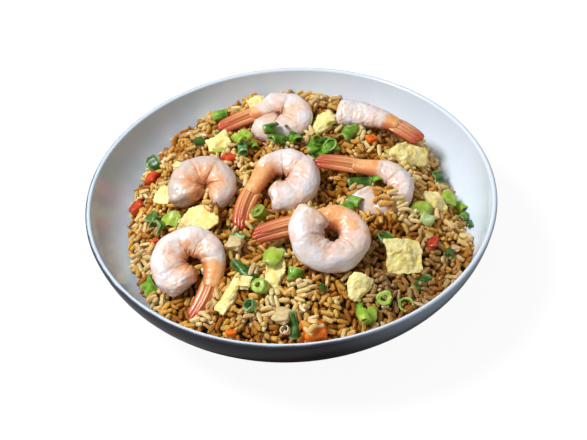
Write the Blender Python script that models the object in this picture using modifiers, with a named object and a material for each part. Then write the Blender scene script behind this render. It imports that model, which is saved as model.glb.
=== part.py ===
"""Shrimp fried rice in a coupe bowl.

A round bowl holds a low heap of fried rice. Seven curled shrimps, torn pieces of
scrambled egg, cut scallion greens and a few diced vegetables lie pressed into it.

Sizes and places are in millimetres and degrees, and become metres as each mesh is
made. X runs to the right, Y to the back and Z up. The origin is under the middle
of the bowl's foot.
"""

import math

import bmesh
import bpy
from mathutils import Matrix, Vector, noise

MM = 0.001
SIDES = 32

# The bowl: a coupe with a rounded lip, standing on a foot ring.
BOWL_RADIUS = 132.5
BOWL_HEIGHT = 58.0
LIP_THICKNESS = 3.5
FLOOR_RADIUS = 62.0
FLOOR_HEIGHT = 11.0
FOOT_RADIUS = 61.0
FOOT_WIDTH = 5.0
FOOT_DEPTH = 4.5
WALL_STEPS = 6

# The heap: a flat dome whose edge climbs the wall at the front and the back, and
# most of all in a drift at the front right.
CROWN_HEIGHT = 55.0
EDGE_HEIGHT = 34.0
EDGE_SWAY = 7.0
DRIFT_HEIGHT = 9.0
DRIFT_ANGLE = -24.0
DRIFT_SPREAD = 14.0
SHOULDER_POWER = 4.0
HEAP_RINGS = 16
LUMP_LENGTH = 19.0
LUMP_HEIGHT = 2.0
# Hollows and humps in the heap: place, spread and height.
HOLLOWS = (((-33, -24), 15, -8), ((27, -4), 13, -5), ((-8, -44), 14, -4))
HUMPS = (((26, -58), 19, 4), ((50, 72), 15, 2.5))
WALL_GAP = 0.6
POCKET_GAP = 0.45
SHARPEST_GROWTH = 2.5

# A shrimp's half height, from the back to the belly, along its centre line.
HEAD_HALF = 9.9
NECK_HALF = 7.5
TAIL_ROOT_HALF = 5.6
BODY_FLATNESS = 0.78
BODY_SEGMENTS = 5
STEPS_PER_SEGMENT = 2
GROOVE_DEPTH = 0.06
SHRIMP_SIDES = 8

# Each shrimp curls round its middle from the head's angle through the curl. The
# radii are those at the head and at the last segment. Rise is the height of the
# curl's plane over the dome, lean tips its far side up, and lift raises the head.
# Bends turn the last segment and the fan, and drop is the fan's fall.
SHRIMPS = {
    "shrimp_back": dict(
        middle=(-3, 75), rise=7, head=222, curl=262, radii=(14.5, 12.0), lean=8,
        last=15, fan=26, bends=(-12, 2), drop=5,
    ),
    "shrimp_back_right": dict(
        middle=(21, -13), rise=4.5, head=78, curl=-17, radii=(90, 90), girth=1.05,
        segments=3, last=14, fan=21, bends=(8, 6), drop=12,
    ),
    "shrimp_left": dict(
        middle=(-55.5, 8), rise=6, head=222, curl=-275, radii=(15, 13), lean=16,
    ),
    "shrimp_middle": dict(
        middle=(-4, 9.5), rise=7, head=236, curl=274, radii=(17, 14.5), lean=10,
        last=19, fan=29, bends=(-3, 30), drop=8,
    ),
    "shrimp_right": dict(
        middle=(58.5, -1), rise=5, head=205, curl=235, radii=(15, 14), lean=18, girth=0.9,
        last=18, fan=27, bends=(-6, 6), drop=0,
    ),
    "shrimp_front": dict(
        middle=(24, -52), rise=8, head=128, curl=330, radii=(17, 14.5), lean=26, lift=14,
        last=19, fan=29, bends=(0, 10), drop=2,
    ),
    "shrimp_front_left": dict(
        middle=(-64.3, -57), rise=8, head=267, curl=-264, radii=(15.5, 14.8), lean=26,
        last=18, fan=27, bends=(20, 25), drop=0,
    ),
}

# Egg: place, length, width, thickness, number of corners, turn, tip and rise.
EGGS = {
    "egg_back": ((-19, 101), 15, 11, 8, 4, 10, 20, 2.5),
    "egg_back_middle": ((24.6, 67.5), 21, 13, 8, 3, 50, 24, 2.5),
    "egg_back_left": ((-46, 57), 18, 13, 9, 4, 15, 20, 2.5),
    "egg_left": ((-83, 14), 14, 14, 7, 5, 40, 12, 1.5),
    "egg_middle_left": ((-58, -17), 24, 21, 6, 5, 20, 16, 2.0),
    "egg_back_right": ((79, 35), 27, 17, 6, 5, 0, 36, 4.5),
    "egg_right": ((92, -4), 14, 18, 8, 4, 20, 12, 2.5),
    "egg_front_right": ((67, -59), 26, 24, 7, 4, 5, 23, 3.0),
    "egg_front": ((37, -82.5), 19, 16, 6, 3, 60, 18, 1.6),
    "egg_front_middle": ((-12, -70), 26, 14, 5, 3, 75, 10, 1.5),
    "egg_front_left": ((-40.5, -83.5), 27, 9, 6, 4, 58, 14, 2.0),
}

EGG_SWELL = {3: 1.4, 4: 1.2, 5: 1.12}

# Scallion: place, radius and sweep of the leaf's curve, length along the leaf,
# turn, tip and rise. A sweep of 360 is a ring or a tube. A tip of UPRIGHT or more
# turns the leaf's cut end up.
SCALLIONS = {
    "scallion_01": ((-45, 90), 4.4, 360, 11, 5, 0, 3.4),
    "scallion_02": ((-91, 56), 5.5, 200, 9, 30, 10, 1.6),
    "scallion_03": ((-29, 57), 5.5, 150, 10, 60, 15, 1.0),
    "scallion_04": ((-30, 45), 3.8, 360, 9, 95, 8, 3.0),
    "scallion_05": ((-11, 53), 3.6, 360, 9, 5, 0, 12.7),
    "scallion_06": ((22, 43), 13.0, 80, 18, 25, 10, 1.2),
    "scallion_07": ((41, 55), 5.0, 170, 13, 55, 12, 1.8),
    "scallion_08": ((45, 6), 5.0, 150, 14, 0, 0, 0.0),
    "scallion_09": ((35, -18), 4.2, 300, 8, 20, 8, 2.4),
    "scallion_10": ((-20, -18), 5.0, 360, 7, 0, 62, 3.6),
    "scallion_11": ((-33, -34), 3.4, 360, 7, 150, 0, 2.6),
    "scallion_12": ((-89, -3), 6.0, 160, 8, 40, 12, 1.6),
    "scallion_13": ((-87, -17), 7.5, 180, 4, 30, 60, 3.0),
    "scallion_14": ((-77, -13), 9.0, 90, 11, 70, 12, 1.0),
    "scallion_15": ((-31, -66), 4.6, 130, 21, 128, 10, 1.2),
    "scallion_16": ((-21, -81), 5.0, 360, 6, 20, 66, 4.5),
    "scallion_17": ((-13, -61), 9.0, 70, 12, 60, 12, 7.7),
    "scallion_18": ((0, -74), 4.2, 300, 9, 75, 14, 2.6),
    "scallion_19": ((-90, -57), 6.0, 160, 9, 20, 10, 1.4),
    "scallion_20": ((-3, -107), 7.0, 50, 17, 95, 14, 1.2),
    "scallion_21": ((56, -46), 4.8, 220, 9, 20, 10, 2.0),
    "scallion_22": ((84, -30), 4.2, 360, 9, 160, 10, 3.2),
    "scallion_23": ((83, -16), 7.0, 110, 12, 60, 12, 1.0),
    "scallion_24": ((103, 4), 7.0, 120, 12, 85, 8, 1.4),
    "scallion_25": ((100, 27), 7.5, 110, 12, 110, 6, 1.6),
    "scallion_26": ((75, -76), 4.4, 130, 15, 50, 12, 1.2),
    "scallion_27": ((42, -101), 5.2, 200, 8, 10, 40, 2.0),
    "scallion_28": ((51.5, -90), 4.8, 360, 6, 40, 60, 4.0),
    "scallion_29": ((64, -92), 4.8, 360, 6, 20, 64, 3.8),
}
LEAF_THICKNESS = 1.2
UPRIGHT = 45

# Diced vegetables: place, length, width, height, turn and rise.
DICE = {
    "carrot_dice": ((9, -112), 13, 12, 9, 15, 2.0),
    "pepper_dice_left": ((-103, 20), 11, 9, 5, 20, 1.0),
    "pepper_dice_back": ((-93, 44), 10, 9, 5, -30, 1.0),
    "pepper_dice_middle": ((-40, 38), 9, 9, 6, 35, 2.0),
}

COLORS = {
    "bowl": (0.86, 0.88, 0.90),
    "rice": (0.46, 0.25, 0.09),
    "shrimp": (0.83, 0.66, 0.58),
    "egg": (0.90, 0.75, 0.30),
    "scallion": (0.16, 0.38, 0.06),
    "carrot": (0.80, 0.22, 0.02),
    "pepper": (0.62, 0.06, 0.02),
}
ROUGHNESS = {"bowl": 0.12, "rice": 0.5, "shrimp": 0.35, "egg": 0.6}
PLAIN_ROUGHNESS = 0.4


# ---------------------------------------------------------------- scene and materials

def clear_scene():
    for item in list(bpy.data.objects):
        bpy.data.objects.remove(item, do_unlink=True)


def new_collection(name):
    group = bpy.data.collections.new(name)
    bpy.context.scene.collection.children.link(group)
    return group


def material_for(finish):
    """The plain Principled material of one finish, made once."""
    found = bpy.data.materials.get(finish)
    if found:
        return found
    made = bpy.data.materials.new(finish)
    made.use_nodes = True
    shader = made.node_tree.nodes["Principled BSDF"]
    shader.inputs["Base Color"].default_value = (*COLORS[finish], 1.0)
    shader.inputs["Roughness"].default_value = ROUGHNESS.get(finish, PLAIN_ROUGHNESS)
    shader.inputs["Metallic"].default_value = 0.0
    return made


def add_object(name, bm, finish, group):
    """Turn a bmesh in millimetres into an object in metres."""
    bmesh.ops.scale(bm, vec=(MM, MM, MM), verts=bm.verts)
    mesh = bpy.data.meshes.new(name)
    bm.to_mesh(mesh)
    bm.free()
    mesh.shade_smooth()
    mesh.set_sharp_from_angle(angle=math.radians(40))
    mesh.materials.append(material_for(finish))
    made = bpy.data.objects.new(name, mesh)
    group.objects.link(made)
    return made


# ---------------------------------------------------------------- curves and heights

def bezier(start, pull_start, pull_end, end, steps):
    """Points of a cubic curve, both ends included."""
    points = []
    for step in range(steps + 1):
        t = step / steps
        weights = ((1 - t) ** 3, 3 * (1 - t) ** 2 * t, 3 * (1 - t) * t * t, t ** 3)
        ends = (start, pull_start, pull_end, end)
        points.append(tuple(sum(w * p[axis] for w, p in zip(weights, ends)) for axis in (0, 1)))
    return points


def inner_wall():
    """Radius and height of the bowl's inside, from the floor's edge to the lip."""
    top = (BOWL_RADIUS - LIP_THICKNESS, BOWL_HEIGHT - LIP_THICKNESS / 2)
    low_pull = (0.875 * BOWL_RADIUS, 0.31 * BOWL_HEIGHT)
    high_pull = (0.947 * BOWL_RADIUS, 0.71 * BOWL_HEIGHT)
    return bezier((FLOOR_RADIUS, FLOOR_HEIGHT), low_pull, high_pull, top, WALL_STEPS)


def outer_wall():
    """Radius and height of the bowl's outside, from the lip down to the foot."""
    top = (BOWL_RADIUS, BOWL_HEIGHT - LIP_THICKNESS / 2)
    high_pull = (0.981 * BOWL_RADIUS, 0.70 * BOWL_HEIGHT)
    low_pull = (0.909 * BOWL_RADIUS, 0.215 * BOWL_HEIGHT)
    return bezier(top, high_pull, low_pull, (FOOT_RADIUS + 1, FOOT_DEPTH + 0.5), WALL_STEPS)


def between(value, pairs):
    """Read y at x = value from rising (x, y) pairs, along straight lines."""
    for (x0, y0), (x1, y1) in zip(pairs, pairs[1:]):
        if value <= x1:
            return y0 + (y1 - y0) * (value - x0) / (x1 - x0)
    return pairs[-1][1]


def wall_height(radius):
    return between(max(radius, FLOOR_RADIUS), inner_wall())


def wall_radius(height):
    return between(height, [(z, r) for r, z in inner_wall()])


def edge_height(angle):
    """How high the rice stands against the wall in the direction of an angle."""
    off_drift = (math.degrees(angle) - DRIFT_ANGLE) / DRIFT_SPREAD
    drift = DRIFT_HEIGHT * math.exp(-off_drift ** 2)
    return EDGE_HEIGHT - EDGE_SWAY * math.cos(2 * angle) + drift


def dome_height(x, y):
    """Height of the heap without its lumps."""
    angle = math.atan2(y, x)
    edge = edge_height(angle)
    share = min(math.hypot(x, y) / wall_radius(edge), 1.0)
    return CROWN_HEIGHT - (CROWN_HEIGHT - edge) * share ** SHOULDER_POWER


def heap_height(x, y):
    """Height of the heap's uneven surface."""
    broad = noise.noise(Vector((x, y, 7.0)) / LUMP_LENGTH)
    fine = noise.noise(Vector((x, y, 40.0)) * 2.0 / LUMP_LENGTH)
    height = dome_height(x, y) + LUMP_HEIGHT * (broad + 0.5 * fine)
    for (middle_x, middle_y), spread, rise in HOLLOWS + HUMPS:
        away = math.hypot(x - middle_x, y - middle_y) / spread
        height += rise * math.exp(-away ** 2)
    return height


def seat(x, y, turn, tip, rise):
    """Place on the heap: up along its slope, turned about that, then tipped."""
    step = 4.0
    slope_x = (dome_height(x + step, y) - dome_height(x - step, y)) / (2 * step)
    slope_y = (dome_height(x, y + step) - dome_height(x, y - step)) / (2 * step)
    up = Vector((-slope_x, -slope_y, 1.0)).normalized()
    foot = Vector((x, y, heap_height(x, y)))
    settle = Vector((0, 0, 1)).rotation_difference(up).to_matrix().to_4x4()
    place = Matrix.Translation(foot + up * rise)
    front = Matrix.Rotation(math.radians(tip), 4, "X")
    return place @ settle @ front @ Matrix.Rotation(math.radians(turn), 4, "Z")


# ---------------------------------------------------------------- bowl and heap

def make_bowl(group):
    """Turn the bowl's profile: up the inside, over the lip and down the outside."""
    lip_middle = BOWL_RADIUS - LIP_THICKNESS / 2
    lip_foot = BOWL_HEIGHT - LIP_THICKNESS / 2
    lip = []
    for degrees in (135, 90, 45):
        angle = math.radians(degrees)
        reach = LIP_THICKNESS / 2
        lip.append((lip_middle + reach * math.cos(angle), lip_foot + reach * math.sin(angle)))
    foot_inside = FOOT_RADIUS - FOOT_WIDTH
    foot = [(FOOT_RADIUS, 0.8), (FOOT_RADIUS - 0.8, 0), (foot_inside, 0), (foot_inside - 2, FOOT_DEPTH)]
    profile = [(0, FLOOR_HEIGHT - 0.5)] + inner_wall() + lip + outer_wall() + foot + [(0, FOOT_DEPTH)]

    bm = bmesh.new()
    verts = [bm.verts.new((radius, 0, height)) for radius, height in profile]
    for start, end in zip(verts, verts[1:]):
        bm.edges.new((start, end))
    bowl = add_object("bowl", bm, "bowl", group)
    turn = bowl.modifiers.new("turn", "SCREW")
    turn.axis = "Z"
    turn.steps = SIDES
    turn.render_steps = SIDES
    turn.use_merge_vertices = True
    turn.merge_threshold = 0.00001
    return bowl


def make_heap(group):
    """Press a ball into the bowl: its lower half takes the wall's shape."""
    bm = bmesh.new()
    bmesh.ops.create_uvsphere(bm, u_segments=SIDES, v_segments=HEAP_RINGS, radius=1.0)
    for vert in bm.verts:
        angle = math.atan2(vert.co.y, vert.co.x)
        edge = edge_height(angle)
        share = math.hypot(vert.co.x, vert.co.y)
        radius = share * (wall_radius(edge) - WALL_GAP)
        x = radius * math.cos(angle)
        y = radius * math.sin(angle)
        if vert.co.z > 0.01:
            height = heap_height(x, y)
        elif vert.co.z > -0.01:
            height = edge + WALL_GAP
        else:
            height = wall_height(radius) + 1.5 * WALL_GAP
        vert.co = (x, y, height)
    return add_object("rice_heap", bm, "rice", group)


# ---------------------------------------------------------------- shrimps

def shrimp_line(radii, head, curl, segments, lift=0, last=0, fan=0, bends=(0, 0), drop=0):
    """Stations along a shrimp: (point, share of its part, part), in the curl's plane.

    The parts are the curled body, the last segment and the tail fan.
    """
    stations = []
    steps = segments * STEPS_PER_SEGMENT
    for step in range(steps + 1):
        share = step / steps
        angle = math.radians(head + curl * share)
        radius = radii[0] + (radii[1] - radii[0]) * share
        spot = Vector((radius * math.cos(angle), radius * math.sin(angle), lift * (1 - share)))
        stations.append((spot, share, "body"))
    sense = math.copysign(1, curl)
    heading = head + curl + 90 * sense
    spot = stations[-1][0].copy()
    for part, length, bend, fall, count in (
        ("last", last, bends[0], drop / 2, 3),
        ("fan", fan, bends[1], drop, 5),
    ):
        for step in range(count if length else 0):
            heading += bend * sense / count
            level = math.radians(heading)
            down = math.radians(fall)
            way = Vector((math.cos(level), math.sin(level), -math.tan(down))).normalized()
            spot = spot + way * (length / count)
            stations.append((spot, (step + 1) / count, part))
    return stations


def shrimp_section(share, part, segments):
    """Half height and half thickness of a shrimp at a station."""
    if part == "body":
        half = HEAD_HALF + (NECK_HALF - HEAD_HALF) * share ** 1.4
        along = share * segments
        if 0 < share < 1 and abs(along - round(along)) < 0.1:
            half *= 1 - GROOVE_DEPTH
        return half, half * BODY_FLATNESS
    if part == "last":
        half = NECK_HALF + (TAIL_ROOT_HALF - NECK_HALF) * share
        return half, half * (BODY_FLATNESS - 0.1 * share)
    outline = [(0.0, 5.0), (0.2, 4.9), (0.6, 5.3), (0.8, 4.4), (1.0, 1.6)]
    thickness = [(0.0, 3.4), (0.2, 2.9), (0.6, 2.2), (1.0, 0.8)]
    return between(share, outline), between(share, thickness)


def make_shrimp(name, shape, group):
    """Loft a shrimp through its sections and set it on the heap."""
    form = dict(shape)
    x, y = form.pop("middle")
    rise = form.pop("rise")
    lean = form.pop("lean", 0)
    girth = form.pop("girth", 1.0)
    form.setdefault("segments", BODY_SEGMENTS)
    line = shrimp_line(**form)
    points = [spot for spot, share, part in line]
    bm = bmesh.new()
    rings = []

    def add_ring(middle, along, half, thick, ridged):
        side = Vector((0, 0, 1)).cross(along).normalized()
        up = along.cross(side)
        ring = []
        for corner in range(SHRIMP_SIDES):
            angle = 2 * math.pi * corner / SHRIMP_SIDES
            ridge = 0.86 if ridged and corner % 2 else 1.0
            reach = side * (half * ridge * math.cos(angle)) + up * (thick * ridge * math.sin(angle))
            ring.append(bm.verts.new(middle + reach * girth))
        rings.append(ring)

    for index, (spot, share, part) in enumerate(line):
        ahead = points[min(index + 1, len(points) - 1)]
        behind = points[max(index - 1, 0)]
        along = (ahead - behind).normalized()
        half, thick = shrimp_section(share, part, form["segments"])
        if index == 0:
            for back, size in ((4.6, 0.45), (3.4, 0.78), (1.4, 0.95)):
                add_ring(spot - along * back, along, half * size, thick * size, False)
        add_ring(spot, along, half, thick, part == "fan")
    if "fan" not in form:
        add_ring(points[-1] + along * 2.5, along, half * 0.6, thick * 0.6, False)

    for ring, following in zip(rings, rings[1:]):
        for corner in range(SHRIMP_SIDES):
            beside = (corner + 1) % SHRIMP_SIDES
            bm.faces.new((ring[corner], ring[beside], following[beside], following[corner]))
    bm.faces.new(reversed(rings[0]))
    bm.faces.new(rings[-1])

    place = Matrix.Translation((x, y, dome_height(x, y) + rise))
    tipped = place @ Matrix.Rotation(math.radians(lean), 4, "X")
    bmesh.ops.transform(bm, matrix=tipped, verts=bm.verts)
    return add_object(name, bm, "shrimp", group)


# ---------------------------------------------------------------- smaller toppings

def make_egg(name, spec, group):
    """A torn piece of egg: a lumpy slab with a cornered outline."""
    (x, y), length, width, thickness, corners, turn, tip, rise = spec
    bm = bmesh.new()
    bmesh.ops.create_cube(bm, size=2.0)
    bmesh.ops.subdivide_edges(bm, edges=bm.edges, cuts=2, use_grid_fill=True)
    for vert in bm.verts:
        spread = max(abs(vert.co.x), abs(vert.co.y))
        angle = math.atan2(vert.co.y, vert.co.x)
        sector = angle * corners / (2 * math.pi)
        off_side = 2 * math.pi * (sector - round(sector)) / corners
        outline = math.cos(math.pi / corners) / math.cos(off_side)
        reach = spread * (0.15 + 0.85 * outline) * EGG_SWELL[corners]
        lump = noise.noise(vert.co * 0.8 + Vector((x, y, 0)) * 0.37)
        crown = 1.0 - 0.35 * spread ** 2
        vert.co = (
            reach * math.cos(angle) * length / 2 * (1 + 0.16 * lump),
            reach * math.sin(angle) * width / 2 * (1 + 0.16 * lump),
            vert.co.z * thickness / 2 * crown + lump * thickness * 0.18,
        )
    bmesh.ops.transform(bm, matrix=seat(x, y, turn, tip, rise), verts=bm.verts)
    bmesh.ops.triangulate(bm, faces=bm.faces)
    return add_object(name, bm, "egg", group)


def make_scallion(name, spec, group):
    """A cut leaf: an open arc along its length, which Solidify gives its wall."""
    (x, y), radius, sweep, length, turn, tip, rise = spec
    closed = sweep >= 360
    steps = 8 if closed else max(3, round(sweep / 40))
    bm = bmesh.new()
    rows = []
    for end in (-0.5, 0.5):
        row = []
        for step in range(steps if closed else steps + 1):
            angle = math.radians(90 + sweep * (0.5 - step / steps))
            lift = 0.0 if closed else radius * math.cos(math.radians(min(sweep, 180) / 2))
            spot = (end * length, radius * math.cos(angle), radius * math.sin(angle) - lift)
            row.append(bm.verts.new(spot))
        rows.append(row)
    first, second = rows
    for step in range(steps):
        beside = (step + 1) % len(first)
        bm.faces.new((first[step], first[beside], second[beside], second[step]))
    upright = tip >= UPRIGHT
    stand = Matrix.Rotation(math.radians(tip if upright else 0), 4, "Y")
    place = seat(x, y, turn, 0 if upright else tip, rise)
    bmesh.ops.transform(bm, matrix=place @ stand, verts=bm.verts)
    bmesh.ops.recalc_face_normals(bm, faces=bm.faces)
    leaf = add_object(name, bm, "scallion", group)
    wall = leaf.modifiers.new("wall", "SOLIDIFY")
    wall.thickness = LEAF_THICKNESS * MM
    wall.offset = -1.0
    wall.use_even_offset = True
    return leaf


def make_dice(name, spec, group):
    """A diced vegetable with softened edges."""
    (x, y), length, width, height, turn, rise = spec
    bm = bmesh.new()
    bmesh.ops.create_cube(bm, size=1.0)
    bmesh.ops.scale(bm, vec=(length, width, height), verts=bm.verts)
    for vert in bm.verts:
        vert.co *= 1.0 + 0.12 * noise.noise(vert.co * 0.2 + Vector((x, y, 3.0)) * 0.3)
    bmesh.ops.transform(bm, matrix=seat(x, y, turn, 0, rise), verts=bm.verts)
    dice = add_object(name, bm, name.split("_")[0], group)
    edge = dice.modifiers.new("edge", "BEVEL")
    edge.width = 1.2 * MM
    edge.segments = 1
    return dice


# ---------------------------------------------------------------- pockets in the rice

def swollen_copy(source, group):
    """A cutter: the evaluated piece, grown by the gap that it keeps to the rice."""
    depsgraph = bpy.context.evaluated_depsgraph_get()
    mesh = bpy.data.meshes.new_from_object(source.evaluated_get(depsgraph))
    bm = bmesh.new()
    bm.from_mesh(mesh)
    bm.normal_update()
    growths = [min(vert.calc_shell_factor(), SHARPEST_GROWTH) for vert in bm.verts]
    for vert, growth in zip(bm.verts, growths):
        vert.co += vert.normal * POCKET_GAP * MM * growth
    bm.to_mesh(mesh)
    bm.free()
    cutter = bpy.data.objects.new(source.name + "_cutter", mesh)
    cutter.display_type = "WIRE"
    cutter.hide_render = True
    group.objects.link(cutter)
    return cutter


def cut_pockets(heap, toppings, group):
    """Press every topping into the rice."""
    for topping in toppings:
        swollen_copy(topping, group)
    pockets = heap.modifiers.new("pockets", "BOOLEAN")
    pockets.operation = "DIFFERENCE"
    pockets.operand_type = "COLLECTION"
    pockets.collection = group
    pockets.solver = "EXACT"
    pockets.use_self = True


def main():
    clear_scene()
    dish = new_collection("shrimp_fried_rice")
    cutters = new_collection("cutters")
    make_bowl(dish)
    heap = make_heap(dish)
    toppings = [make_shrimp(name, shape, dish) for name, shape in SHRIMPS.items()]
    toppings += [make_egg(name, spec, dish) for name, spec in EGGS.items()]
    toppings += [make_scallion(name, spec, dish) for name, spec in SCALLIONS.items()]
    toppings += [make_dice(name, spec, dish) for name, spec in DICE.items()]
    cut_pockets(heap, toppings, cutters)


main()
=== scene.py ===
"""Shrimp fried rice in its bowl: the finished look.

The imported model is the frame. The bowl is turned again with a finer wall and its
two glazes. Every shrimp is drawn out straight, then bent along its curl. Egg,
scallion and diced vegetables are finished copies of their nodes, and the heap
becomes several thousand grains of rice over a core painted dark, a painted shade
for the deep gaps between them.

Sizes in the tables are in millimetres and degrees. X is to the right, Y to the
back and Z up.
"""

import math

import bmesh
import bpy
import numpy as np
from mathutils import Matrix, Vector, noise
from mathutils.bvhtree import BVHTree


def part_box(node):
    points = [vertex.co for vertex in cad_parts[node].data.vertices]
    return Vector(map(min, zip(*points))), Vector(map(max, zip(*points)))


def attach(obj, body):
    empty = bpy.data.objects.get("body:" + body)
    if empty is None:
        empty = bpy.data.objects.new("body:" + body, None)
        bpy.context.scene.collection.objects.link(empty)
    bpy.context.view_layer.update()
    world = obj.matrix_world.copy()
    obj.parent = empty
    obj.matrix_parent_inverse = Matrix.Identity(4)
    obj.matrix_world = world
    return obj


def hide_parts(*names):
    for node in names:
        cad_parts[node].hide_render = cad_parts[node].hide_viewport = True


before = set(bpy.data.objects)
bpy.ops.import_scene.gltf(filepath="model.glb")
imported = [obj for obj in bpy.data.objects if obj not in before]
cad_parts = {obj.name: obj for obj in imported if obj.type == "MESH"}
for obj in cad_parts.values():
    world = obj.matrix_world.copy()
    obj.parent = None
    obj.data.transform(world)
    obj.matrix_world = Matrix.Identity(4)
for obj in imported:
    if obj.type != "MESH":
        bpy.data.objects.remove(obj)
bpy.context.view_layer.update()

MM = 0.001

# The bowl, as the frame has it.
BOWL_SIDES = 144
WALL_STEPS = 20
BOWL_RADIUS = 132.5
BOWL_HEIGHT = 58.0
LIP_THICKNESS = 3.5
FLOOR_RADIUS = 62.0
FLOOR_HEIGHT = 11.0
FOOT_RADIUS = 61.0
FOOT_WIDTH = 5.0
FOOT_DEPTH = 4.5

# A shrimp's half height, from the back to the belly, along its centre line.
HEAD_HALF = 9.9
NECK_HALF = 7.5
TAIL_ROOT_HALF = 5.6
BODY_FLATNESS = 0.78
SHRIMP_SIDES = 24
CURL_STEPS = 60
LINE_OVERRUN = 6.0

# Head angle, curl, the curl's radii at head and tail, lean, length of the last
# segment and of the fan, their bends and drop, the head's lift, girth, segments.
SHRIMPS = {
    "shrimp_back": dict(
        head=202, curl=282, radii=(15.5, 12.0), lean=8, last=15, fan=26, bends=(-12, 2), drop=5,
    ),
    "shrimp_back_right": dict(
        head=78, curl=-17, radii=(90, 90), girth=1.05, segments=3, last=14, fan=21,
        bends=(8, 6), drop=12,
    ),
    "shrimp_left": dict(head=226, curl=-286, radii=(15, 13), lean=16),
    "shrimp_middle": dict(
        head=236, curl=274, radii=(17, 14.5), lean=10, last=19, fan=29, bends=(-3, 30), drop=8,
    ),
    "shrimp_right": dict(
        head=205, curl=235, radii=(15, 14), lean=18, girth=0.9, last=18, fan=27,
        bends=(-6, 6), drop=0,
    ),
    "shrimp_front": dict(
        head=128, curl=330, radii=(17, 14.5), lean=26, lift=14, last=19, fan=29,
        bends=(0, 10), drop=2,
    ),
    "shrimp_front_left": dict(
        head=267, curl=-264, radii=(15.5, 14.8), lean=26, last=18, fan=27, bends=(20, 25), drop=0,
    ),
}

# How orange each shrimp's creases are, and from 1.5 up how much darker its flesh is
# painted, a painted shade for the shrimp nearest the lamp; how far its belly fills the
# curl, where the peach shell begins along the body, how slanted the head end is cut,
# and how deep the folds are.
SHRIMP_LOOKS = {
    "shrimp_back": (0.8, 0.40, 1.5, 0.2, 0.7),
    "shrimp_back_right": (0.10, 0.10, 1.2, 0.0, 0.12),
    "shrimp_left": (3.1, 0.45, 1.0, 0.3, 0.8),
    "shrimp_middle": (0.8, 0.45, 0.84, 0.35, 0.5),
    "shrimp_right": (0.7, 0.30, 0.95, 0.0, 0.7),
    "shrimp_front": (0.7, 0.28, 0.56, 0.1, 0.5),
    "shrimp_front_left": (1.3, 0.42, 1.0, 0.4, 0.6),
}

# How one segment of a shrimp swells between the folds at its ends.
SEGMENT_SWELL = ((0.0, 0.95), (0.12, 0.985), (0.4, 1.02), (0.75, 1.03))

# The blades of a tail: place across, spread, length as a share of the fan, width,
# thickness and height.
TAIL_BLADES = (
    (4.3, -2.4, 0.94, 6.2, 3.8, 0.0),
    (-4.3, 2.1, 0.90, 6.2, 3.8, 0.0),
    (1.6, -1.2, 1.0, 5.0, 4.2, 0.8),
    (-1.6, 1.2, 0.97, 5.0, 4.2, 0.9),
    (0.1, 0.0, 0.80, 3.8, 3.0, 2.4),
)
# How far a blade reaches into the body, and how it widens from a place on.
BLADE_INSIDE = 5.0
BLADE_SWELL = ((0.3, 1.08), (0.5, 1.1), (0.7, 1.12), (0.85, 1.15), (0.93, 1.15))

# Which leaf colour each scallion node has.
LEAF_KINDS = {
    "leaf_dark": (2, 8, 12, 13, 15, 20, 21, 25, 26),
    "leaf_middle": (1, 5, 6, 7, 9, 18, 19, 29),
    "leaf_light": (3, 14, 16, 17, 23, 24, 27, 28),
    "leaf_teal": (4, 11),
    "leaf_olive": (10,),
    "leaf_pale": (22,),
}

# Small cuttings that lie on the rice: form, place, length, width, turn and tip.
LEAF_BITS = {
    "leaf_dark": (
        ("half", -61, 60, 8, 7, 40, 10), ("strip", -9, 52, 12, 5, 60, 25),
        ("strip", 3, 55, 13, 4, 120, 20), ("half", 7, 53, 8, 6, 100, 15),
        ("half", 96, -56, 9, 6, 70, 20), ("strip", 25, 47, 16, 4, 35, 20),
        ("half", 115, -17, 8, 5, 80, 20), ("strip", -66, 84, 6, 5, 0, 20),
        ("half", 15, -86, 6, 5, 60, 20), ("half", -45, 66, 8, 5, 20, 10),
        ("half", -44, -18, 6, 4, 40, 10), ("half", 5, -94, 6, 4, 20, 20),
        ("strip", -26, -74, 10, 6, 100, 15), ("strip", 0, 58, 9, 3, 95, 30),
    ),
    "leaf_middle": (
        ("half", -7, 47, 12, 9, 40, 25), ("half", 6, 49, 11, 8, 110, 20),
        ("strip", 1, 51, 13, 5, 80, 40),
        ("strip", 30, 39, 17, 5, 20, 15), ("hoop", 29, 41, 3, 10, 30, 58),
        ("strip", 18, 38, 15, 4, 50, 20), ("half", 57, 5, 8, 7, 100, 10),
        ("half", 112, -9, 8, 6, 60, 20), ("strip", 37, -96, 12, 5, 80, 10),
        ("strip", -89, -20, 10, 4, 100, 25), ("half", 41, -15, 9, 8, 140, 10),
        ("half", -22, 48, 7, 5, 100, 10), ("hoop", 20, 46, 2, 8, 140, 50),
    ),
    "leaf_light": (
        ("strip", 45, -64, 20, 3, 75, 10), ("half", 39, -106, 10, 7, 95, 10),
        ("half", -32, 49, 9, 7, 130, 10), ("half", 112, 3, 9, 7, 120, 10),
        ("strip", -45, 46, 12, 4, 5, 10), ("half", -84, -27, 5, 4, 60, 20),
    ),
    "leaf_teal": (
        ("hoop", -28, -95, 4, 8, 20, 50), ("half", -37, -29, 6, 5, 140, 10),
    ),
}
RED_BITS = (
    ("block", 87, -48, 10, 5, 70, 10), ("block", -50, -4, 7, 3, 15, 10),
    ("block", 24, -81, 8, 4, 110, 10), ("block", -88, -25, 5, 3, 30, 0),
    ("block", -84, 27, 6, 4, 60, 10), ("block", 47, 60, 5, 3, 10, 10),
)
ORANGE_BITS = (
    ("block", 57, 50, 7, 6, 20, 10), ("block", -40, -108, 6, 4, 15, 10),
    ("block", 21, -106, 6, 5, 60, 20),
)
ONION_BITS = (
    ("chip", 101, -48, 14, 6, 75, 35), ("chip", -9, -101, 15, 10, 70, 10),
    ("chip", -36, -45, 15, 10, 75, 15), ("chip", 109, -30, 14, 9, 110, 20),
    ("hoop", -8, -110, 3, 6, 20, 60),
)
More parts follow.
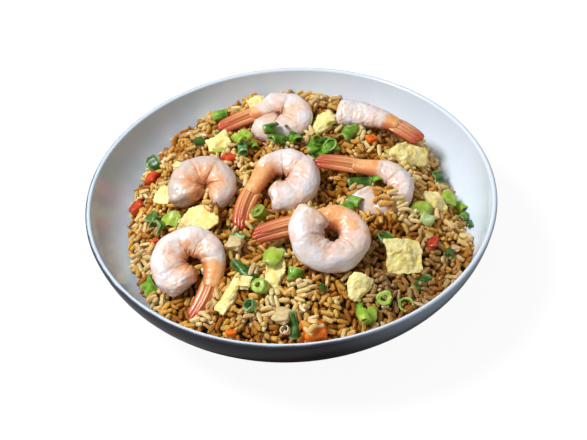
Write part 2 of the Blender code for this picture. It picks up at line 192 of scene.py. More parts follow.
EGG_BITS = (
    ("block", -30, -77, 9, 7, 70, 10), ("block", 30, 66, 7, 5, 20, 10),
    ("block", -72, 22, 6, 5, 60, 10),
)

# How high the middle of a cutting lies over the rice, as a share of its thickness.
BIT_LIFTS = {"half": 0.2, "strip": -0.12, "hoop": 0.22, "block": 0.25, "chip": 0.2}

# Where loose grains lie over a topping: place, reach and count.
SPILLS = (
    (60, -13, 6, 24), (66, -20, 8, 40), (60, -25, 6, 24), (78, 46, 5, 4), (-50, -12, 4, 4),
    (-28, -66, 6, 4), (88, 60, 5, 4), (6, -114, 6, 7), (14, -107, 5, 5),
)

# Scallion with a thick wall, and scallion that stays whole and is crumpled less.
THICK_RINGS = (9, 10, 16, 28)
WHOLE_TUBES = (1, 4, 5, 9, 10, 11, 16, 22, 28, 29)
SHARP_ANGLE = 62

# Rice: grain length and thickness, spacing of the height grid, depth of loose rice.
GRAIN_LENGTHS = (6.4, 9.4)
GRAIN_RADIUS = 1.5
GRAIN_WIDTH = 1.06
GRAIN_DEPTH = 0.96
GRID = 0.7
RICE_DEPTH = 7.0
GRAIN_TRIES = 34000
CLUMP_RELIEF = 4.6
STEEPEST_GRAIN = 1.5
STEEPEST_SPILL = 1.0
HIGHEST_OVER_HEAP = 2.6

# From which tone a grain is pale or golden; below both it's brown.
PALE_FROM = 0.72
GOLDEN_FROM = 0.36
SPILL_LIFT = 0.25

# The middle of the place at the front right where the rice is painted darkest, partly a sauce stain
# and partly painted shade on the slope facing away from the lamp, in metres.
SAUCE_AND_SHADE_SPOT = (0.064, -0.078, 0.045)

# How high and how far out the rice is banked against the wall at the right front.
BANK_HEIGHT = 45.0
BANK_RADIUS = 124.5

# The deep and the bright colour of each leaf.
LEAF_COLOURS = {
    "leaf_dark": ((0.016, 0.065, 0.005), (0.07, 0.18, 0.014)),
    "leaf_middle": ((0.07, 0.20, 0.008), (0.24, 0.43, 0.03)),
    "leaf_light": ((0.25, 0.39, 0.02), (0.44, 0.56, 0.07)),
    "leaf_teal": ((0.05, 0.21, 0.05), (0.28, 0.52, 0.18)),
    "leaf_olive": ((0.16, 0.21, 0.008), (0.31, 0.36, 0.03)),
    "leaf_pale": ((0.42, 0.55, 0.18), (0.66, 0.74, 0.38)),
}

# The light, middle and dark colour of each kind of grain, from pale to brown.
RICE_COLOURS = {
    "rice_pale": ((0.83, 0.63, 0.31), (0.77, 0.525, 0.20), (0.70, 0.425, 0.12)),
    "rice_golden": ((0.76, 0.49, 0.16), (0.68, 0.39, 0.09), (0.60, 0.295, 0.042)),
    "rice_brown": ((0.58, 0.31, 0.062), (0.47, 0.21, 0.026), (0.36, 0.13, 0.009)),
}


# ---------------------------------------------------------------- nodes

def add_node(tree, kind, inputs=None, **settings):
    """A node with its settings, its fixed inputs and its links."""
    node = tree.nodes.new(kind)
    for name, value in settings.items():
        setattr(node, name, value)
    for key, value in (inputs or {}).items():
        if isinstance(value, bpy.types.NodeSocket):
            tree.links.new(value, node.inputs[key])
        else:
            node.inputs[key].default_value = value
    return node


def calculate(tree, operation, *values):
    inputs = dict(enumerate(values))
    return add_node(tree, "ShaderNodeMath", inputs, operation=operation).outputs[0]


def times(tree, first, second):
    return calculate(tree, "MULTIPLY", first, second)


def times_plus(tree, value, factor, offset):
    return calculate(tree, "MULTIPLY_ADD", value, factor, offset)


def blend(tree, factor, first, second):
    mix = add_node(tree, "ShaderNodeMix", {0: factor, 6: first, 7: second}, data_type="RGBA")
    return mix.outputs[2]


def mask(tree, value, low, high):
    """0 at low, 1 at high, and a soft step in between."""
    inputs = {"Value": value, "From Min": low, "From Max": high}
    step = add_node(tree, "ShaderNodeMapRange", inputs, interpolation_type="SMOOTHSTEP")
    return step.outputs[0]


def attribute(tree, name):
    return add_node(tree, "ShaderNodeAttribute", attribute_name=name).outputs["Fac"]


def object_place(tree):
    return add_node(tree, "ShaderNodeTexCoord").outputs["Object"]


def across_bowl(tree, low, high):
    """A mask that runs from one side of the bowl to the other."""
    split = add_node(tree, "ShaderNodeSeparateXYZ", {0: object_place(tree)})
    return mask(tree, split.outputs[0], low, high)


def rgb(red, green, blue):
    return (red, green, blue, 1.0)


def new_group(name, inputs, outputs):
    group = bpy.data.node_groups.new(name, "ShaderNodeTree")
    for label, kind, value in inputs:
        socket = group.interface.new_socket(name=label, in_out="INPUT", socket_type=kind)
        socket.default_value = value
    for label, kind in outputs:
        group.interface.new_socket(name=label, in_out="OUTPUT", socket_type=kind)
    return group, group.nodes.new("NodeGroupInput"), group.nodes.new("NodeGroupOutput")


def make_mottle_group():
    """Soft blotches: Size in millimetres, and the noise levels that give 0 and 1."""
    group, entry, leave = new_group(
        "mottle",
        (
            ("Size", "NodeSocketFloat", 5.0),
            ("Low", "NodeSocketFloat", 0.4),
            ("High", "NodeSocketFloat", 0.6),
        ),
        (("Mask", "NodeSocketFloat"),),
    )
    place = object_place(group)
    scale = calculate(group, "DIVIDE", 1000.0, entry.outputs["Size"])
    cloud = add_node(group, "ShaderNodeTexNoise", {"Vector": place, "Scale": scale, "Detail": 3.0})
    spots = mask(group, cloud.outputs[0], entry.outputs["Low"], entry.outputs["High"])
    group.links.new(spots, leave.inputs["Mask"])
    return group


def make_rough_group():
    """A bumpy skin: Size and Height of its lumps in millimetres."""
    group, entry, leave = new_group(
        "rough_skin",
        (("Size", "NodeSocketFloat", 2.0), ("Height", "NodeSocketFloat", 0.1)),
        (("Normal", "NodeSocketVector"),),
    )
    place = object_place(group)
    scale = calculate(group, "DIVIDE", 1000.0, entry.outputs["Size"])
    lumps = add_node(group, "ShaderNodeTexNoise", {"Vector": place, "Scale": scale, "Detail": 4.0})
    height = calculate(group, "MULTIPLY", entry.outputs["Height"], MM)
    inputs = {"Height": lumps.outputs[0], "Distance": height, "Strength": 1.0}
    bump = add_node(group, "ShaderNodeBump", inputs)
    group.links.new(bump.outputs[0], leave.inputs["Normal"])
    return group


MOTTLE = make_mottle_group()
ROUGH_SKIN = make_rough_group()


def use_group(tree, group, *values):
    node = add_node(tree, "ShaderNodeGroup", node_tree=group)
    for socket, value in zip(node.inputs, values):
        socket.default_value = value
    return node.outputs[0]


def mottle(tree, size, low, high):
    return use_group(tree, MOTTLE, size, low, high)


def rough_skin(tree, size, height):
    return use_group(tree, ROUGH_SKIN, size, height)


def new_material(name, **fixed):
    """A material, its node tree and its shader, with the fixed sockets set."""
    material = bpy.data.materials.new(name)
    material.use_nodes = True
    tree = material.node_tree
    shader = tree.nodes["Principled BSDF"]
    for label, value in fixed.items():
        shader.inputs[label.replace("_", " ")].default_value = value
    return material, tree, shader


def feed(tree, shader, **sockets):
    for label, socket in sockets.items():
        tree.links.new(socket, shader.inputs[label.replace("_", " ")])


# ---------------------------------------------------------------- materials

def make_inner_glaze():
    """The bluish white of the inside and the lip, painted bluer on the shaded left side."""
    material, tree, shader = new_material(
        "bowl_white", Roughness=0.14, Coat_Weight=0.3, Coat_Roughness=0.05,
    )
    blotch = mottle(tree, 60.0, 0.35, 0.65)
    body = blend(tree, blotch, rgb(0.69, 0.76, 0.85), rgb(0.73, 0.79, 0.88))
    # The left wall, out of the lamp's reach, is painted bluer: a painted cool shade against the
    # warm light bounced onto it from the rice.
    body = blend(tree, across_bowl(tree, 0.0, -0.10), body, rgb(0.63, 0.75, 0.90))
    skin = rough_skin(tree, 12.0, 0.02)
    feed(tree, shader, Base_Color=body, Normal=skin)
    return material


def make_outer_glaze():
    """White under the lip, then darker towards the bottom, to a glossy brown-black. On the right
    side the band under the lip and the wall are painted lighter grey, a painted reflection of the
    light from that side.
    """
    material, tree, shader = new_material("bowl_black", Roughness=0.15, IOR=1.22)
    blotch = mottle(tree, 45.0, 0.35, 0.65)
    run = mottle(tree, 14.0, 0.2, 0.8)
    depth = times_plus(tree, run, 0.008, attribute(tree, "outside"))
    # On the right side the band under the lip is painted light blue-grey and the wall grey: a
    # painted reflection of the light from that side.
    side = across_bowl(tree, 0.01, 0.12)
    painted_reflection_band = blend(tree, side, rgb(0.050, 0.048, 0.058), rgb(0.62, 0.73, 0.85))
    dark = blend(tree, blotch, rgb(0.034, 0.011, 0.008), rgb(0.014, 0.005, 0.004))
    dark = blend(tree, side, dark, rgb(0.28, 0.32, 0.38))
    body = blend(tree, mask(tree, depth, 0.002, 0.022), rgb(0.69, 0.76, 0.85), painted_reflection_band)
    body = blend(tree, mask(tree, depth, 0.06, 0.34), body, dark)
    skin = rough_skin(tree, 9.0, 0.02)
    feed(tree, shader, Base_Color=body, Normal=skin)
    return material


def make_rice_material(name, pale, golden, brown):
    """Cooked grains, each with its own tone, stained in patches by the sauce."""
    material, tree, shader = new_material(
        name, Subsurface_Weight=0.85, Subsurface_Scale=0.0028, Subsurface_Radius=(1.0, 0.55, 0.25),
        Coat_Weight=0.05, Coat_Roughness=0.2, Specular_IOR_Level=0.24,
    )
    tone = attribute(tree, "tone")
    body = blend(tree, mask(tree, tone, 0.0, 0.55), brown, golden)
    body = blend(tree, mask(tree, tone, 0.55, 1.0), body, pale)
    stain = mottle(tree, 22.0, 0.42, 0.68)
    body = blend(tree, times(tree, stain, 0.4), body, rgb(0.28, 0.11, 0.02))
    speck = mottle(tree, 3.2, 0.5, 0.75)
    body = blend(tree, times(tree, speck, 0.18), body, rgb(0.34, 0.15, 0.03))
    # Darkest at the front right: partly sauce, partly painted shade on the slope that faces away
    # from the lamp.
    inputs = {0: object_place(tree), 1: SAUCE_AND_SHADE_SPOT}
    far = add_node(tree, "ShaderNodeVectorMath", inputs, operation="DISTANCE").outputs["Value"]
    sauce = times(tree, mask(tree, far, 0.052, 0.015), 0.66)
    body = blend(tree, sauce, body, rgb(0.17, 0.055, 0.008))
    rough = times_plus(tree, speck, 0.2, 0.30)
    skin = rough_skin(tree, 1.6, 0.08)
    feed(tree, shader, Base_Color=body, Roughness=rough, Normal=skin)
    return material


def make_shade_core_material():
    material, tree, shader = new_material("rice_shade_core", Roughness=0.7)
    # A near-black brown: painted shade, for the deep gaps between the grains.
    blotch = mottle(tree, 5.0, 0.35, 0.65)
    body = blend(tree, blotch, rgb(0.035, 0.007, 0.001), rgb(0.12, 0.042, 0.006))
    skin = rough_skin(tree, 4.0, 1.0)
    feed(tree, shader, Base_Color=body, Normal=skin)
    return material


def make_shrimp_material():
    """Milky flesh with orange creases, a peach last shell and a red ribbed tail."""
    material, tree, shader = new_material(
        "shrimp_flesh", Subsurface_Weight=0.25, Subsurface_Scale=0.003,
        Subsurface_Radius=(1.0, 0.45, 0.35), Coat_Roughness=0.14,
    )
    along = attribute(tree, "along")
    belly = attribute(tree, "belly")
    warmth_and_shade = attribute(tree, "warmth_and_shade")
    cloud = mottle(tree, 9.0, 0.38, 0.62)
    spots = mottle(tree, 4.0, 0.40, 0.62)
    flesh = blend(tree, cloud, rgb(0.80, 0.74, 0.75), rgb(0.83, 0.63, 0.52))
    veil = mottle(tree, 2.6, 0.5, 0.72)
    flesh = blend(tree, times(tree, veil, 0.4), flesh, rgb(0.90, 0.89, 0.93))
    # Above 1.5 the flesh is painted darker: painted shade for the shrimp nearest the lamp, which it
    # lights more brightly than the rest.
    painted_flesh_shade = times(tree, mask(tree, warmth_and_shade, 1.5, 3.0), 0.75)
    flesh = blend(tree, painted_flesh_shade, flesh, rgb(0.60, 0.45, 0.37))
    # The belly side is peach, most of all in the eye of the curl.
    inner = times(tree, mask(tree, belly, -0.45, 0.95), warmth_and_shade)
    peach = times(tree, inner, times_plus(tree, spots, 0.6, 0.2))
    flesh = blend(tree, peach, flesh, rgb(0.82, 0.42, 0.21))
    eye = times(tree, mask(tree, belly, 0.75, 1.3), warmth_and_shade)
    flesh = blend(tree, times(tree, eye, 0.7), flesh, rgb(0.52, 0.19, 0.07))
    # The folds are orange-brown lines.
    crease = times(tree, attribute(tree, "crease"), warmth_and_shade)
    crease = times(tree, crease, times_plus(tree, spots, 0.5, 0.5))
    flesh = blend(tree, crease, flesh, rgb(0.78, 0.34, 0.15))
    spine = times(tree, mask(tree, belly, -0.84, -0.98), spots)
    flesh = blend(tree, times(tree, spine, 0.35), flesh, rgb(0.76, 0.36, 0.30))
    # The last segment keeps its peach shell, palest where it begins.
    edge = times_plus(tree, cloud, -0.2, attribute(tree, "shell"))
    shell = mask(tree, edge, -0.08, 0.22)
    orange = blend(tree, spots, rgb(0.84, 0.35, 0.11), rgb(0.87, 0.46, 0.19))
    orange = blend(tree, mask(tree, belly, 0.35, 0.9), orange, rgb(0.60, 0.17, 0.05))
    flesh = blend(tree, shell, flesh, orange)
    # The tail is red between pale ribs, and darkest at the tips. The pale ribs are partly their own
    # colour and partly a painted highlight, and the dark blade edges partly deep red and partly
    # painted shade between the blades.
    red = blend(tree, mask(tree, along, 2.2, 2.95), rgb(0.68, 0.19, 0.045), rgb(0.52, 0.06, 0.012))
    rib = calculate(tree, "ABSOLUTE", attribute(tree, "rib"))
    edges = times(tree, mask(tree, rib, 0.45, 0.9), 0.7)
    red = blend(tree, edges, red, rgb(0.28, 0.04, 0.012))
    pale = times(tree, mask(tree, rib, 0.40, 0.05), mask(tree, along, 3.0, 2.1))
    red = blend(tree, times(tree, pale, 0.8), red, rgb(0.86, 0.46, 0.22))
    flesh = blend(tree, mask(tree, along, 1.94, 2.08), flesh, red)
    rough = times_plus(tree, spots, 0.12, 0.32)
    skin = rough_skin(tree, 2.2, 0.4)
    wet = times_plus(tree, mask(tree, along, 1.9, 2.1), 0.2, 0.3)
    feed(tree, shader, Base_Color=flesh, Roughness=rough, Coat_Weight=wet, Normal=skin)
    return material


def make_egg_material():
    material, tree, shader = new_material(
        "egg_curd", Subsurface_Weight=0.15, Subsurface_Scale=0.003, Roughness=0.55,
    )
    cloud = mottle(tree, 6.0, 0.35, 0.65)
    body = blend(tree, cloud, rgb(0.87, 0.69, 0.21), rgb(0.90, 0.80, 0.38))
    pit = mottle(tree, 1.8, 0.55, 0.75)
    body = blend(tree, times(tree, pit, 0.45), body, rgb(0.72, 0.45, 0.08))
    white = mottle(tree, 4.0, 0.58, 0.72)
    body = blend(tree, times(tree, white, 0.6), body, rgb(0.90, 0.85, 0.60))
    skin = rough_skin(tree, 1.5, 0.35)
    feed(tree, shader, Base_Color=body, Normal=skin)
    return material


def make_leaf_material(name, deep, bright):
    """Scallion: streaked between a deep and a bright green, with a moist skin."""
    material, tree, shader = new_material(
        name, Subsurface_Weight=0.1, Subsurface_Scale=0.002, Coat_Weight=0.2, Coat_Roughness=0.22,
        Specular_IOR_Level=0.35,
    )
    cloud = mottle(tree, 5.0, 0.38, 0.62)
    body = blend(tree, cloud, deep, bright)
    streak = mottle(tree, 1.2, 0.5, 0.7)
    body = blend(tree, times(tree, streak, 0.35), body, deep)
    vein = mask(tree, attribute(tree, "vein"), 0.05, 0.45)
    body = blend(tree, times(tree, vein, 0.6), body, deep)
    rim = times(tree, mask(tree, attribute(tree, "rim"), 0.2, 0.9), 0.6)
    body = blend(tree, rim, body, rgb(0.50, 0.60, 0.20))
    rough = times_plus(tree, streak, 0.15, 0.36)
    skin = rough_skin(tree, 1.1, 0.10)
    feed(tree, shader, Base_Color=body, Roughness=rough, Normal=skin)
    return material


def make_dice_material(name, deep, bright):
    material, tree, shader = new_material(
        name, Subsurface_Weight=0.15, Subsurface_Scale=0.003, Coat_Weight=0.15, Coat_Roughness=0.14,
        Roughness=0.35, Specular_IOR_Level=0.3,
    )
    cloud = mottle(tree, 4.0, 0.35, 0.65)
    body = blend(tree, cloud, deep, bright)
    skin = rough_skin(tree, 1.4, 0.15)
    feed(tree, shader, Base_Color=body, Normal=skin)
    return material


def make_onion_material():
    material, tree, shader = new_material(
        "onion", Subsurface_Weight=0.6, Subsurface_Scale=0.004, Coat_Weight=0.5, Coat_Roughness=0.1,
        Roughness=0.3,
    )
    cloud = mottle(tree, 3.0, 0.35, 0.65)
    body = blend(tree, cloud, rgb(0.64, 0.47, 0.20), rgb(0.80, 0.67, 0.38))
    fibre = mottle(tree, 1.5, 0.45, 0.6)
    body = blend(tree, times(tree, fibre, 0.4), body, rgb(0.50, 0.33, 0.14))
    skin = rough_skin(tree, 1.4, 0.12)
    feed(tree, shader, Base_Color=body, Normal=skin)
    return material


# ---------------------------------------------------------------- modelling helpers

def start_piece():
    """Nothing stays selected, so that the next operator acts on the new piece alone."""
    bpy.ops.object.select_all(action="DESELECT")


def select_only(piece):
    start_piece()
    piece.select_set(True)
    bpy.context.view_layer.objects.active = piece


def enter_edit():
    bpy.ops.object.mode_set(mode="EDIT")


def leave_edit():
    bpy.ops.object.mode_set(mode="OBJECT")


def select_points(piece, chosen):
    """Select the points whose place is chosen, in edit mode."""
    bm = bmesh.from_edit_mesh(piece.data)
    for vert in bm.verts:
        vert.select = chosen(vert.co)
    bm.select_flush_mode()
    bmesh.update_edit_mesh(piece.data)


def crease_sharp(degrees, value):
    """Keep the sharp edges of the piece in edit mode from being rounded off."""
    bpy.ops.mesh.select_all(action="DESELECT")
    bpy.ops.mesh.edges_select_sharp(sharpness=math.radians(degrees))
    bpy.ops.transform.edge_crease(value=value)


def close_skin():
    bpy.ops.mesh.select_all(action="SELECT")
    bpy.ops.mesh.fill_holes(sides=0)
    bpy.ops.mesh.normals_make_consistent(inside=False)


def name_seed(name):
    return sum(ord(letter) for letter in name)


def apply_modifier(piece, kind, **settings):
    select_only(piece)
    modifier = piece.modifiers.new(kind.lower(), kind)
    for name, value in settings.items():
        setattr(modifier, name, value)
    bpy.ops.object.modifier_apply(modifier=modifier.name)


def smooth_with(piece, levels):
    apply_modifier(piece, "SUBSURF", levels=levels, render_levels=levels)


def mark_points(piece, name, values):
    """Store one number for each point, for the material to read."""
    layer = piece.data.attributes.get(name) or piece.data.attributes.new(name, "FLOAT", "POINT")
    layer.data.foreach_set("value", np.asarray(values, dtype=np.float32))


def read_points(piece, name):
    values = np.zeros(len(piece.data.vertices), dtype=np.float32)
    piece.data.attributes[name].data.foreach_get("value", values)
    return values


def points_of(piece):
    spots = np.zeros(len(piece.data.vertices) * 3, dtype=np.float32)
    piece.data.vertices.foreach_get("co", spots)
    return spots.reshape(-1, 3)


def move_points(piece, spots):
    """Give every point its new place, in metres."""
    piece.data.vertices.foreach_set("co", spots.astype(np.float32).ravel())
    piece.data.update()


def roughen(piece, size, height, seed):
    """Push the surface in and out by a soft noise, sizes in millimetres."""
    normals = [vert.normal.copy() for vert in piece.data.vertices]
    for vert, normal in zip(piece.data.vertices, normals):
        push = noise.noise(vert.co / (size * MM) + Vector((seed, 0.0, 0.0)))
        vert.co += normal * push * height * MM


def fit_box(piece, name):
    """Move a piece to its node's place, and press it in where it's larger."""
    low, high = (np.array(corner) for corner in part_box(name))
    spots = points_of(piece).astype(float)
    own_low, own_high = spots.min(axis=0), spots.max(axis=0)
    scale = np.minimum(1.0, (high - low) / (own_high - own_low))
    spots = (spots - (own_low + own_high) / 2) * scale + (low + high) / 2
    move_points(piece, spots)


def finish_piece(piece, name, material, slot, *nodes):
    """Name, paint and place a finished piece in the frame."""
    piece.name = name
    piece.data.name = name
    piece.data.materials.clear()
    piece.data.materials.append(material)
    select_only(piece)
    bpy.ops.object.shade_smooth_by_angle(angle=math.radians(50))
    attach(piece, "root")
    if nodes:
        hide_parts(*nodes)
    return piece


def copy_node(name):
    """A copy of a node's solid with its loose triangles merged into quads."""
    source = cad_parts[name]
    piece = bpy.data.objects.new(name + "_look", source.data.copy())
    bpy.context.scene.collection.objects.link(piece)
    select_only(piece)
    enter_edit()
    bpy.ops.mesh.select_all(action="SELECT")
    bpy.ops.mesh.remove_doubles(threshold=0.00002)
    bpy.ops.mesh.tris_convert_to_quads()
    leave_edit()
    return piece


# ---------------------------------------------------------------- the bowl

def curve_points(*ends):
    """A smooth line from the first point to the last, drawn towards the two between."""
    points = []
    for step in range(WALL_STEPS + 1):
        t = step / WALL_STEPS
        weights = ((1 - t) ** 3, 3 * (1 - t) ** 2 * t, 3 * (1 - t) * t * t, t ** 3)
        points.append(tuple(sum(w * p[axis] for w, p in zip(weights, ends)) for axis in (0, 1)))
    return points


def inner_wall():
    top = (BOWL_RADIUS - LIP_THICKNESS, BOWL_HEIGHT - LIP_THICKNESS / 2)
    low_pull = (0.875 * BOWL_RADIUS, 0.31 * BOWL_HEIGHT)
    high_pull = (0.947 * BOWL_RADIUS, 0.71 * BOWL_HEIGHT)
    return curve_points((FLOOR_RADIUS, FLOOR_HEIGHT), low_pull, high_pull, top)


def outer_wall():
    top = (BOWL_RADIUS, BOWL_HEIGHT - LIP_THICKNESS / 2)
    high_pull = (0.981 * BOWL_RADIUS, 0.70 * BOWL_HEIGHT)
    low_pull = (0.909 * BOWL_RADIUS, 0.215 * BOWL_HEIGHT)
    return curve_points(top, high_pull, low_pull, (FOOT_RADIUS + 1, FOOT_DEPTH + 0.5))


def make_bowl(white, black):
    """Draw the wall out ring by ring: up the inside, over the lip and down to the foot."""
    lip_middle = BOWL_RADIUS - LIP_THICKNESS / 2
    lip_foot = BOWL_HEIGHT - LIP_THICKNESS / 2
    lip = []
    for degrees in range(160, 0, -20):
        angle = math.radians(degrees)
        reach = LIP_THICKNESS / 2
        lip.append((lip_middle + reach * math.cos(angle), lip_foot + reach * math.sin(angle)))
    inside = [(2.0, FLOOR_HEIGHT - 0.5), (30.0, FLOOR_HEIGHT - 0.4)] + inner_wall() + lip
    outside = outer_wall()
    foot_inside = FOOT_RADIUS - FOOT_WIDTH
    foot = [
        (FOOT_RADIUS, 0.8), (FOOT_RADIUS - 0.25, 0.25), (FOOT_RADIUS - 0.8, 0.0),
        (foot_inside + 0.5, 0.0), (foot_inside, 0.4), (foot_inside - 2, FOOT_DEPTH),
        (2.0, FOOT_DEPTH),
    ]
    profile = inside + outside + foot
    start_piece()
    radius, height = profile[0]
    bpy.ops.mesh.primitive_circle_add(
        vertices=BOWL_SIDES, radius=radius * MM, fill_type="NOTHING", location=(0, 0, height * MM),
    )
    bowl = bpy.context.object
    bpy.ops.object.transform_apply(location=True)
    enter_edit()
    for (near_radius, near_height), (radius, height) in zip(profile, profile[1:]):
        grow = radius / near_radius
        bpy.ops.mesh.extrude_region_move()
        bpy.ops.transform.resize(value=(grow, grow, 1), center_override=(0, 0, near_height * MM))
        bpy.ops.transform.translate(value=(0, 0, (height - near_height) * MM))
    close_skin()
    leave_edit()
    shades = [0.0] * (len(inside) - 4) + [0.006, 0.012, 0.018, 0.024]
    shades += [(BOWL_HEIGHT - height) / BOWL_HEIGHT for radius, height in outside + foot]
    outside_values = np.repeat(shades, BOWL_SIDES)
    mark_points(bowl, "outside", outside_values)
    finish_piece(bowl, "bowl_glazed", white, "bowl", "bowl")
    bowl.data.materials.append(black)
    for face in bowl.data.polygons:
        face.material_index = int(min(outside_values[list(face.vertices)]) > 0.004)


# ---------------------------------------------------------------- shrimps

def shrimp_line(radii, head, curl, lift=0, last=0, fan=0, bends=(0, 0), drop=0):
    """Points along a shrimp's centre, and the length of its body."""
    points = []
    for step in range(CURL_STEPS + 1):
        share = step / CURL_STEPS
        angle = math.radians(head + curl * share)
        radius = radii[0] + (radii[1] - radii[0]) * share
        across, away = radius * math.cos(angle), radius * math.sin(angle)
        points.append(Vector((across, away, lift * (1 - share))))
    body = sum((b - a).length for a, b in zip(points, points[1:]))
    sense = math.copysign(1, curl)
    heading = head + curl + 90 * sense
    spot = points[-1].copy()
    for length, bend, fall, count in ((last, bends[0], drop / 2, 12), (fan, bends[1], drop, 16)):
        for step in range(count if length else 0):
            heading += bend * sense / count
            level = math.radians(heading)
            down = math.tan(math.radians(fall))
            onward = Vector((math.cos(level), math.sin(level), -down)).normalized()
            spot = spot + onward * length / count
            points.append(spot)
    return points, body


def half_height(share):
    """A shrimp's half height at a share of its body."""
    return HEAD_HALF + (NECK_HALF - HEAD_HALF) * share ** 1.4


def shrimp_rings(body, last, segments, girth, depth):
    """Distance, half height and half thickness of each ring of a straight shrimp."""
    rings = []
    for back, size in ((3.5, 0.2), (3.4, 0.45), (3.0, 0.7), (2.1, 0.87), (1.0, 0.96)):
        rings.append((-back, HEAD_HALF * size, HEAD_HALF * BODY_FLATNESS * size))
    for segment in range(segments):
        for within, swell in SEGMENT_SWELL:
            share = (segment + within) / segments
            fullness = 1 + (swell - 1) * min(1.4 * depth, 1) if share > 0 else 1.0
            half = half_height(share) * fullness
            rings.append((share * body, half, half * BODY_FLATNESS))
    for within in (0.0, 0.06, 0.2, 0.4, 0.6, 0.8, 1.0):
        if not last:
            break
        lip = 0.96 if within == 0 else 1.0
        half = (NECK_HALF + (TAIL_ROOT_HALF - NECK_HALF) * within) * lip
        rings.append((body + last * within, half, half * (BODY_FLATNESS - 0.1 * within)))
    half = TAIL_ROOT_HALF if last else NECK_HALF
    end = body + last
    for ahead, size in ((0.9, 0.9), (1.7, 0.66), (2.1, 0.35)):
        rings.append((end + ahead, half * size, half * BODY_FLATNESS * size))
    return [(x, half * girth, thick * girth) for x, half, thick in rings]


def straight_body(body, last, segments, girth, depth, belly_side):
    """Draw the body out along X from the blunt head end to the root of the tail."""
    rings = shrimp_rings(body, last, segments, girth, depth)
    start_piece()
    bpy.ops.mesh.primitive_circle_add(
        vertices=SHRIMP_SIDES, radius=MM, fill_type="NOTHING", rotation=(0, math.pi / 2, 0),
    )
    piece = bpy.context.object
    bpy.ops.object.transform_apply(rotation=True)
    enter_edit()
    place, half, thick = 0.0, 1.0, 1.0
    for index, (next_place, next_half, next_thick) in enumerate(rings):
        if index:
            bpy.ops.mesh.extrude_region_move()
        middle = (place * MM, 0, 0)
        grow = (1, next_half / half, next_thick / thick)
        bpy.ops.transform.resize(value=grow, center_override=middle)
        bpy.ops.transform.translate(value=((next_place - place) * MM, 0, 0))
        place, half, thick = next_place, next_half, next_thick
    close_skin()
    leave_edit()
    spots = points_of(piece) / MM
    halves = np.interp(spots[:, 0], [r[0] for r in rings], [r[1] for r in rings])
    end = body + last
    share = np.interp(spots[:, 0], [0, body, max(end, body + 0.1)], [0, 1, 2 if last else 1])
    mark_points(piece, "along", share)
    mark_points(piece, "belly", belly_side * spots[:, 1] / np.maximum(halves, 0.1))
    mark_points(piece, "rib", np.full(len(spots), 0.3))
    smooth_with(piece, 2)
    return piece


def shape_flesh(piece, body, segments, last, swell, cut, depth, seed):
    """Fill the belly out, press in the folds and wrinkles, and tear the head end."""
    spots = points_of(piece).astype(float) / MM
    normals = np.array([vert.normal for vert in piece.data.vertices])
    along, belly = read_points(piece, "along"), read_points(piece, "belly")
    shift = Vector((seed * 3.7, 0.0, 0.0))
    wobble = np.array([noise.noise(Vector(s) / 7.0 + shift) for s in spots])
    stretched = [Vector((x / 1.7, y / 9, z / 9)) for x, y, z in spots]
    lines = np.array([noise.noise(spot + shift) for spot in stretched])
    lumps = np.array([noise.noise(Vector(s) / 9.0 - shift) for s in spots])
    tears = np.array([noise.noise(Vector(s) / 3.2 - shift) for s in spots])
    fine = np.array([noise.noise(Vector(s) / 2.1 + shift) for s in spots])
    fold = spots[:, 0] / body * segments + 0.16 * wobble
    nearest = np.clip(np.round(fold), 1, segments if last else segments - 1)
    off = np.abs(fold - nearest) * body / segments
    inner = np.clip((belly + 0.75) / 1.3, 0, 1) ** 1.5
    on_body = np.clip((1.06 - along) / 0.06, 0, 1)
    broken = np.clip(0.75 + 1.2 * tears, 0.15, 1)
    groove = np.exp(-(off / 0.8) ** 2) * (0.25 + 0.75 * inner) * on_body * broken
    wrinkle = np.clip(1 - np.abs(lines) / 0.07, 0, 1) * inner ** 2 * on_body
    torn = np.clip(1 - along / 0.10, 0, 1)
    vein = np.clip(1 - np.abs(lines) / 0.2, 0, 1) * inner ** 1.5 * on_body
    step = 0.3 * ((fold % 1.0) - 0.5) * on_body * np.clip(along / 0.15, 0, 1)
    push = depth * (step - 0.85 * groove) - 0.3 * wrinkle + (0.6 + depth) * lumps * on_body
    push += 0.6 * tears * torn + 0.35 * fine * on_body
    spots += normals * push[:, None]
    fill = 1 + swell * np.clip(belly, 0, 1) * np.clip((1.15 - along) / 0.3, 0, 1)
    spots[:, 1] *= fill
    spots[:, 0] += cut * HEAD_HALF * (1 - belly) * np.clip(1 - along / 0.3, 0, 1) ** 1.5
    move_points(piece, spots * MM)
    mark_points(piece, "belly", belly * np.where(belly > 0, fill, 1))
    streaks = np.clip(1 - np.abs(tears) / 0.12, 0, 1) * (0.2 + 0.8 * inner) * on_body * (lumps > 0)
    folds = depth * groove * (0.4 + 0.9 * inner)
    crease = np.maximum.reduce([folds, 0.8 * wrinkle, 0.6 * vein, 0.7 * streaks])
    mark_points(piece, "crease", np.clip(crease, 0, 1))


